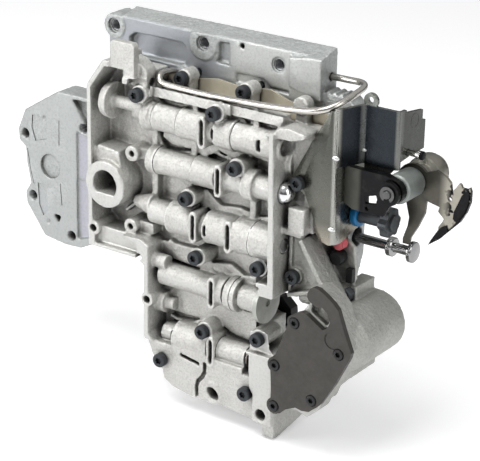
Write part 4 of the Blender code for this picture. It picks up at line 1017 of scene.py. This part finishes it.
def barrel_grooves(shape):
    """Thin lines where one length of a barrel meets the next."""
    for height, x, radius in GROOVES:
        centre = (BORE_DEPTH, height)
        add_band(shape, centre, x, radius - GROOVE_DEPTH, radius + GROOVE_CLEAR, GROOVE_WIDTH)


main = recast(
    "valve_body_casting",
    "main_casting",
    "main",
    voxel=0.66,
    fillet=1.3,
    rounds=14,
    faces=184000,
    planes=(-60.5, -61.0, -66.0, -67.0),
    extras=(casting_ridges, casting_rings, top_floor),
)
carve(main, barrel_grooves, 0.0)
carve(main, lowered_rim, 0.0)

AHEAD = 2.0
WING_FRONT = -22.0
BAR_FRONT = -18.0
WING_HOLES = [(-195.6, -2.8), (-135.9, 13.1), (-189.0, -53.3), (-149.6, -78.7)]
BAR_HOLES = [(-106.6, 99.4), (-24.9, 100), (40.3, 96)]
WING_BORE = (-170.3, -25.1)
ROUGH_PATCHES = [
    [(-187.6, 14.2), (-172.4, 14.2), (-173, -3.2), (-185, -6.9), (-188.6, 4)],
    [(-183.6, -41.5), (-174.1, -41.3), (-173.5, -64), (-178.5, -68), (-182.5, -60)],
]
WING_LINES = [
    [(-160, 14.7), (-160.5, -5.3)],
    [(-160.1, -37), (-158.8, -55)],
    [(-193.4, -14.7), (-190.6, -32.1), (-187.6, -43)],
]
PATCH_DEPTH = 0.7
LINE_DEPTH = 0.5
LINE_HALF = 0.35


def milled_holes(shape):
    """Crisp screw holes with a step near their mouth, and the flat seat of the large bore."""
    for centre in WING_HOLES:
        profile = [(4.7, WING_FRONT - AHEAD), (4.7, WING_FRONT), (3.9, WING_FRONT + 0.8), (3.9, 4)]
        add_turned(shape, centre, profile)
    for centre in BAR_HOLES:
        profile = [(5.8, BAR_FRONT - AHEAD), (5.8, BAR_FRONT + 0.9), (4.5, BAR_FRONT + 1.3), (4.5, -2)]
        add_turned(shape, centre, profile)
    add_turned(shape, WING_BORE, [(10.1, WING_FRONT - AHEAD), (10.1, WING_FRONT + 2.6)])


def rough_patches(shape):
    """Shallow hollows and thin lines that keep the cast skin."""
    for outline in ROUGH_PATCHES:
        add_prism(shape, outline, WING_FRONT - AHEAD, WING_FRONT + PATCH_DEPTH)
    for points in WING_LINES:
        left = [(x - LINE_HALF, z) for x, z in points]
        right = [(x + LINE_HALF, z) for x, z in reversed(points)]
        add_prism(shape, left + right, WING_FRONT - AHEAD, WING_FRONT + LINE_DEPTH)


transfer = recast(
    "transfer_plate",
    "transfer_casting",
    "transfer",
    voxel=0.8,
    fillet=1.2,
    rounds=12,
    faces=110000,
    planes=(WING_FRONT, BAR_FRONT, -19.6, -18.8, -12.0, -14.0, -16.5),
)
carve(transfer, milled_holes, 1.0)
carve(transfer, rough_patches, 0.0)
recast(
    "accumulator_housing",
    "accumulator_casting",
    "accumulator",
    voxel=0.8,
    fillet=1.6,
    rounds=14,
    faces=110000,
    planes=(-66.0,),
)


# Solids that keep their own shape get fine edges
SOFT_EDGES = {
    "separator_plate": 0.25,
    "accumulator_cover": 0.5,
    "shaft_support": 0.4,
    "manual_lever": 0.35,
    "throttle_lever": 0.35,
    "line_pressure_screw": 0.5,
    "snap_ring": 0.25,
    "terminal_block": 0.5,
    "black_stop_disc": 0.6,
    "contact_pad_upper": 0.2,
    "contact_pad_lower": 0.2,
    "retaining_clip": 0.2,
}
for name, width in SOFT_EDGES.items():
    soften(nodes[name], width)


# Turned pieces get twice their facets twice over, and smooth sides
BODIES = frame["record"]["behaviour"]["bodies"]
BODY_OF = {node: body for body, members in BODIES.items() for node in members}
TURNED = {
    "manual_shaft": "Y",
    "shaft_bush": "Y",
    "throttle_shaft": "Y",
    "pink_plug": "Y",
    "dark_plug": "Y",
    "bore_plug_1": "X",
    "bore_plug_2": "X",
    "bore_plug_3": "X",
    "adjuster_collar": "X",
    "manual_valve": "X",
    "throttle_stop_screw": "X",
}


SAME_LEVEL = 0.001 * MM
SAME_RADIUS = 0.02 * MM
LONGEST_CHORD = 0.7


def place_key(point):
    """A point as whole thousandths of a millimetre, to find it again."""
    return tuple(round(value * 1e6) for value in point)


def rounder(shape, axis, centre):
    """Splits each chord around the axis and moves the new point out to the circle."""
    along = "XYZ".index(axis)
    across = [item for item in range(3) if item != along]

    def radius(point):
        return math.hypot(point[across[0]] - centre[across[0]], point[across[1]] - centre[across[1]])

    chords = []
    reach = {}
    for edge in shape.edges:
        a, b = (vertex.co for vertex in edge.verts)
        level = abs(a[along] - b[along]) < SAME_LEVEL
        even = abs(radius(a) - radius(b)) < SAME_RADIUS
        if level and even and edge.calc_length() < radius(a) * LONGEST_CHORD:
            chords.append(edge)
            reach[place_key((a + b) / 2)] = radius(a)
    split = bmesh.ops.subdivide_edges(shape, edges=chords, cuts=1)
    for vertex in split["geom_inner"]:
        if not isinstance(vertex, bmesh.types.BMVert):
            continue
        key = place_key(vertex.co)
        if key in reach:
            scale = reach[key] / radius(vertex.co)
            for item in across:
                vertex.co[item] = centre[item] + (vertex.co[item] - centre[item]) * scale


for node, axis in TURNED.items():
    shape = welded(node)
    low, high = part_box(node)
    centre = (low + high) / 2
    for step in range(2):
        rounder(shape, axis, centre)
    look = NODE_LOOKS[node]
    obj = new_object(
        f"round_{node}",
        shape,
        body=BODY_OF[node],
        look=look,
        sharp=32,
        instead=(node,),
    )
    soften(obj, 0.22, angle=40)


# Screws with a star recess: head radius, head height, shank radius and recess radius
HEADS = {"front": (5.3, 5.2, 2.4, 2.4), "side": (5.3, 4.7, 2.4, 2.4), "cover": (4.0, 2.4, 1.6, 1.8)}
SCREW_SIDES = 48
RECESS_DEPTH = 2.0
LOBE = 0.14


def star_screw(name, kind):
    """Head, shank and a six-lobed recess around the Y axis, in the box of the plain screw."""
    head, height, shank, recess = HEADS[kind]
    low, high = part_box(name)
    middle = (low + high) / 2 / MM
    seat = low.y / MM + height
    length = (high.y - low.y) / MM - height
    head = min(head, (high.x - low.x) / MM / 2)
    shape = bmesh.new()

    def ring(radius, depth, lobe=0.0):
        found = []
        for step, (cos, sin) in enumerate(spokes(SCREW_SIDES)):
            reach = radius * (1 + lobe * math.cos(6 * 2 * math.pi * step / SCREW_SIDES))
            place = (middle.x + reach * cos, seat + depth, middle.z + reach * sin)
            found.append(shape.verts.new([value * MM for value in place]))
        return found

    rings = [
        ring(recess * 0.5, -height + RECESS_DEPTH * 1.15, LOBE),
        ring(recess, -height + RECESS_DEPTH, LOBE),
        ring(recess, -height + 0.25, LOBE),
        ring(recess * 1.1, -height + 0.02, LOBE),
        ring(head - 0.9, -height),
        ring(head - 0.28, -height + 0.25),
        ring(head, -height + 0.9),
        ring(head, -0.35),
        ring(head - 0.3, 0),
        ring(shank, 0),
        ring(shank, length),
    ]
    join_rings(shape, rings)
    look = "cover_screw" if kind == "cover" else "screw"
    new_object(f"star_{name}", shape, look=look, sharp=35, instead=(name,))


for name in sorted(nodes):
    kind = name.split("_")[0]
    if kind in HEADS and "screw" in name:
        star_screw(name, kind)


# Feed tube, swept along a smooth line
TUBE_RADIUS = 2.38
TUBE_POINTS = [
    (-40.9, -25, 76.7),
    (-41.3, -34, 80),
    (-41.6, -46, 80.2),
    (-37, -51, 76.2),
    (-18.6, -51, 75.1),
    (8.3, -51, 75.1),
    (41, -51, 76.3),
    (72.8, -51, 78.5),
    (91, -51, 80.8),
    (101.4, -48.4, 83.6),
    (107.6, -40, 87.4),
    (110.2, -28, 90.8),
    (109.8, -16, 92.6),
    (104, -9.2, 93.1),
    (91, -7, 92.4),
    (74, -7, 92.2),
]


def smooth_line(points, count):
    """Catmull-Rom points through a list."""
    found = []
    line = [Vector(point) for point in points]
    for index in range(len(line) - 1):
        before = line[max(index - 1, 0)]
        one = line[index]
        two = line[index + 1]
        after = line[min(index + 2, len(line) - 1)]
        for step in range(count):
            t = step / count
            bend = (before * -1 + one * 3 - two * 3 + after) * t**3
            lean = (before * 2 - one * 5 + two * 4 - after) * t**2
            found.append((bend + lean + (two - before) * t + one * 2) / 2)
    return found + [line[-1]]


def sweep(shape, line, radius, sides=20):
    """A round bar along a line of points."""
    rings = []
    side = Vector((0, 0, 1))
    for index, point in enumerate(line):
        ahead = line[min(index + 1, len(line) - 1)] - line[max(index - 1, 0)]
        ahead.normalize()
        side = (side - ahead * side.dot(ahead)).normalized()
        across = ahead.cross(side)
        reaches = [side * cos + across * sin for cos, sin in spokes(sides)]
        rings.append([shape.verts.new((point + reach * radius) * MM) for reach in reaches])
    join_rings(shape, rings)


shape = bmesh.new()
sweep(shape, smooth_line(TUBE_POINTS, 8), TUBE_RADIUS)
new_object("feed_tube", shape, look="tube", sharp=50, instead=("boost_tube",))


# Wire threads in the three holes of the bar
COIL_RADIUS = 4.15
COIL_WIRE = 0.4
COIL_START = BAR_FRONT + 1.7
COIL_PITCH = 1.15
COIL_TURNS = 7
COIL_STEPS = 20
for index, (x, z) in enumerate(BAR_HOLES):
    line = []
    for step in range(COIL_TURNS * COIL_STEPS + 1):
        angle = 2 * math.pi * step / COIL_STEPS
        depth = COIL_START + COIL_PITCH * step / COIL_STEPS
        line.append(Vector((x + COIL_RADIUS * math.cos(angle), depth, z + COIL_RADIUS * math.sin(angle))))
    shape = bmesh.new()
    sweep(shape, line, COIL_WIRE, 8)
    new_object(f"wire_thread_{index + 1}", shape, look="spring")


# Bracket: its own solid, bent again with rounded folds.
# Each fold has its outer corner in X and Y, the ways of its two panels, a radius, and the Z where it
# starts and ends.
FOLDS = [
    ((110.1, -49.5), (-1, 0), (0.370, 0.929), 4.2, 43.6, 90),
    ((110.4, -49.5), (-1, 0), (0, 1), 4.2, -20, 43.2),
    ((117.2, -25.0), (-0.370, -0.929), (1, 0), 3.6, 43.6, 84.9),
    ((146.5, -27.6), (-1, 0), (0, 1), 4.0, 43, 86),
]
FOLD_CUTS = 6
SHEET = (-0.1, 2.9)
FOLD_SLACK = 0.6


def round_fold(shape, corner, first, second, radius, low, high):
    """Bends the sheet at an upright corner to a radius. The corner is the fold's outer line."""
    corner = Vector(corner)
    turn = math.pi - Vector(first).angle(Vector(second))
    tangent = radius * math.tan(turn / 2)
    sides = []
    for mine, other in ((first, second), (second, first)):
        mine = Vector(mine).normalized()
        other = Vector(other).normalized()
        inward = (other - mine * other.dot(mine)).normalized()
        sides.append((mine, inward))
    for mine, inward in sides:
        for step in range(1, FOLD_CUTS + 1):
            place = corner + mine * (tangent * step / FOLD_CUTS)
            bmesh.ops.bisect_plane(
                shape,
                geom=shape.verts[:] + shape.edges[:] + shape.faces[:],
                plane_co=Vector((place.x, place.y, 0)) * MM,
                plane_no=(mine.x, mine.y, 0),
                dist=1e-7,
            )
    for vertex in shape.verts:
        x, y, z = vertex.co / MM
        if not low <= z <= high:
            continue
        reach = Vector((x, y)) - corner
        lengths = [reach.dot(mine) for mine, inward in sides]
        mine, inward = sides[0 if lengths[0] >= lengths[1] else 1]
        depth = reach.dot(inward)
        length = max(lengths)
        start = depth * math.tan(turn / 2)
        if not (SHEET[0] < depth < SHEET[1] and start - FOLD_SLACK <= length < tangent):
            continue
        share = max((length - start) / (tangent - start), 0)
        angle = (1 - share) * turn / 2
        centre = corner + mine * tangent + inward * radius
        place = centre - (inward * math.cos(angle) + mine * math.sin(angle)) * (radius - depth)
        vertex.co = Vector((place.x * MM, place.y * MM, vertex.co.z))


shape = welded("adjuster_bracket")
for fold in FOLDS:
    round_fold(shape, *fold)
bmesh.ops.remove_doubles(shape, verts=shape.verts, dist=WELD)
bracket = new_object(
    "folded_bracket",
    shape,
    look="bracket",
    sharp=34,
    instead=("adjuster_bracket",),
)
soften(bracket, 0.3, angle=50)


# Bright spheroids on the bracket's folds, with centre and reach, that stand for pressed dimples and carry a
# painted highlight, and a ring on its last panel
DIMPLE_HIGHLIGHTS = [
    ((109.6, -48.7, 50.5), (3.2, 1.2, 1.8)),
    ((108.4, -48.9, -1.6), (3.2, 0.9, 1.7)),
    ((118.7, -27.7, 52.8), (2.3, 1.0, 1.2)),
]
RING_CENTRE = (-8.3, 74.7)
RING_START = 146.15
for index, (centre, reach) in enumerate(DIMPLE_HIGHLIGHTS):
    shape = bmesh.new()
    place = Matrix.Translation(Vector(centre) * MM) @ Matrix.Diagonal((*(value * MM for value in reach), 1))
    bmesh.ops.create_uvsphere(shape, u_segments=24, v_segments=12, radius=1, matrix=place)
    new_object(f"dimple_highlight_{index + 1}", shape, look="dimple_glint")
shape = bmesh.new()
add_band(shape, RING_CENTRE, RING_START, inner=4.7, outer=5.4, width=0.5)
new_object("ring_mark", shape, look="bracket", sharp=40)


# Plug with a six-sided head in the socket of the accumulator's bar
PLUG_AXIS = (112.2, -54.8)
PLUG_TURN = 0.3
HEAD_BACK = -28.3
HEAD_FRONT = -34.6
PLUG_LENGTH = 5.5
PLUG_PROFILE = [
    (4.2, HEAD_FRONT),
    (5.2, HEAD_FRONT + 0.8),
    (5.2, HEAD_BACK),
    (3.4, HEAD_BACK),
    (3.4, HEAD_BACK + PLUG_LENGTH),
]
shape = bmesh.new()
add_turned(shape, PLUG_AXIS, PLUG_PROFILE, sides=6, turn=PLUG_TURN)
socket_plug = new_object("socket_plug", shape, look="knob", sharp=25)
soften(socket_plug, 0.25)


size = {"cad": cad_box, "visual": [list(corner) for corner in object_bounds()]}
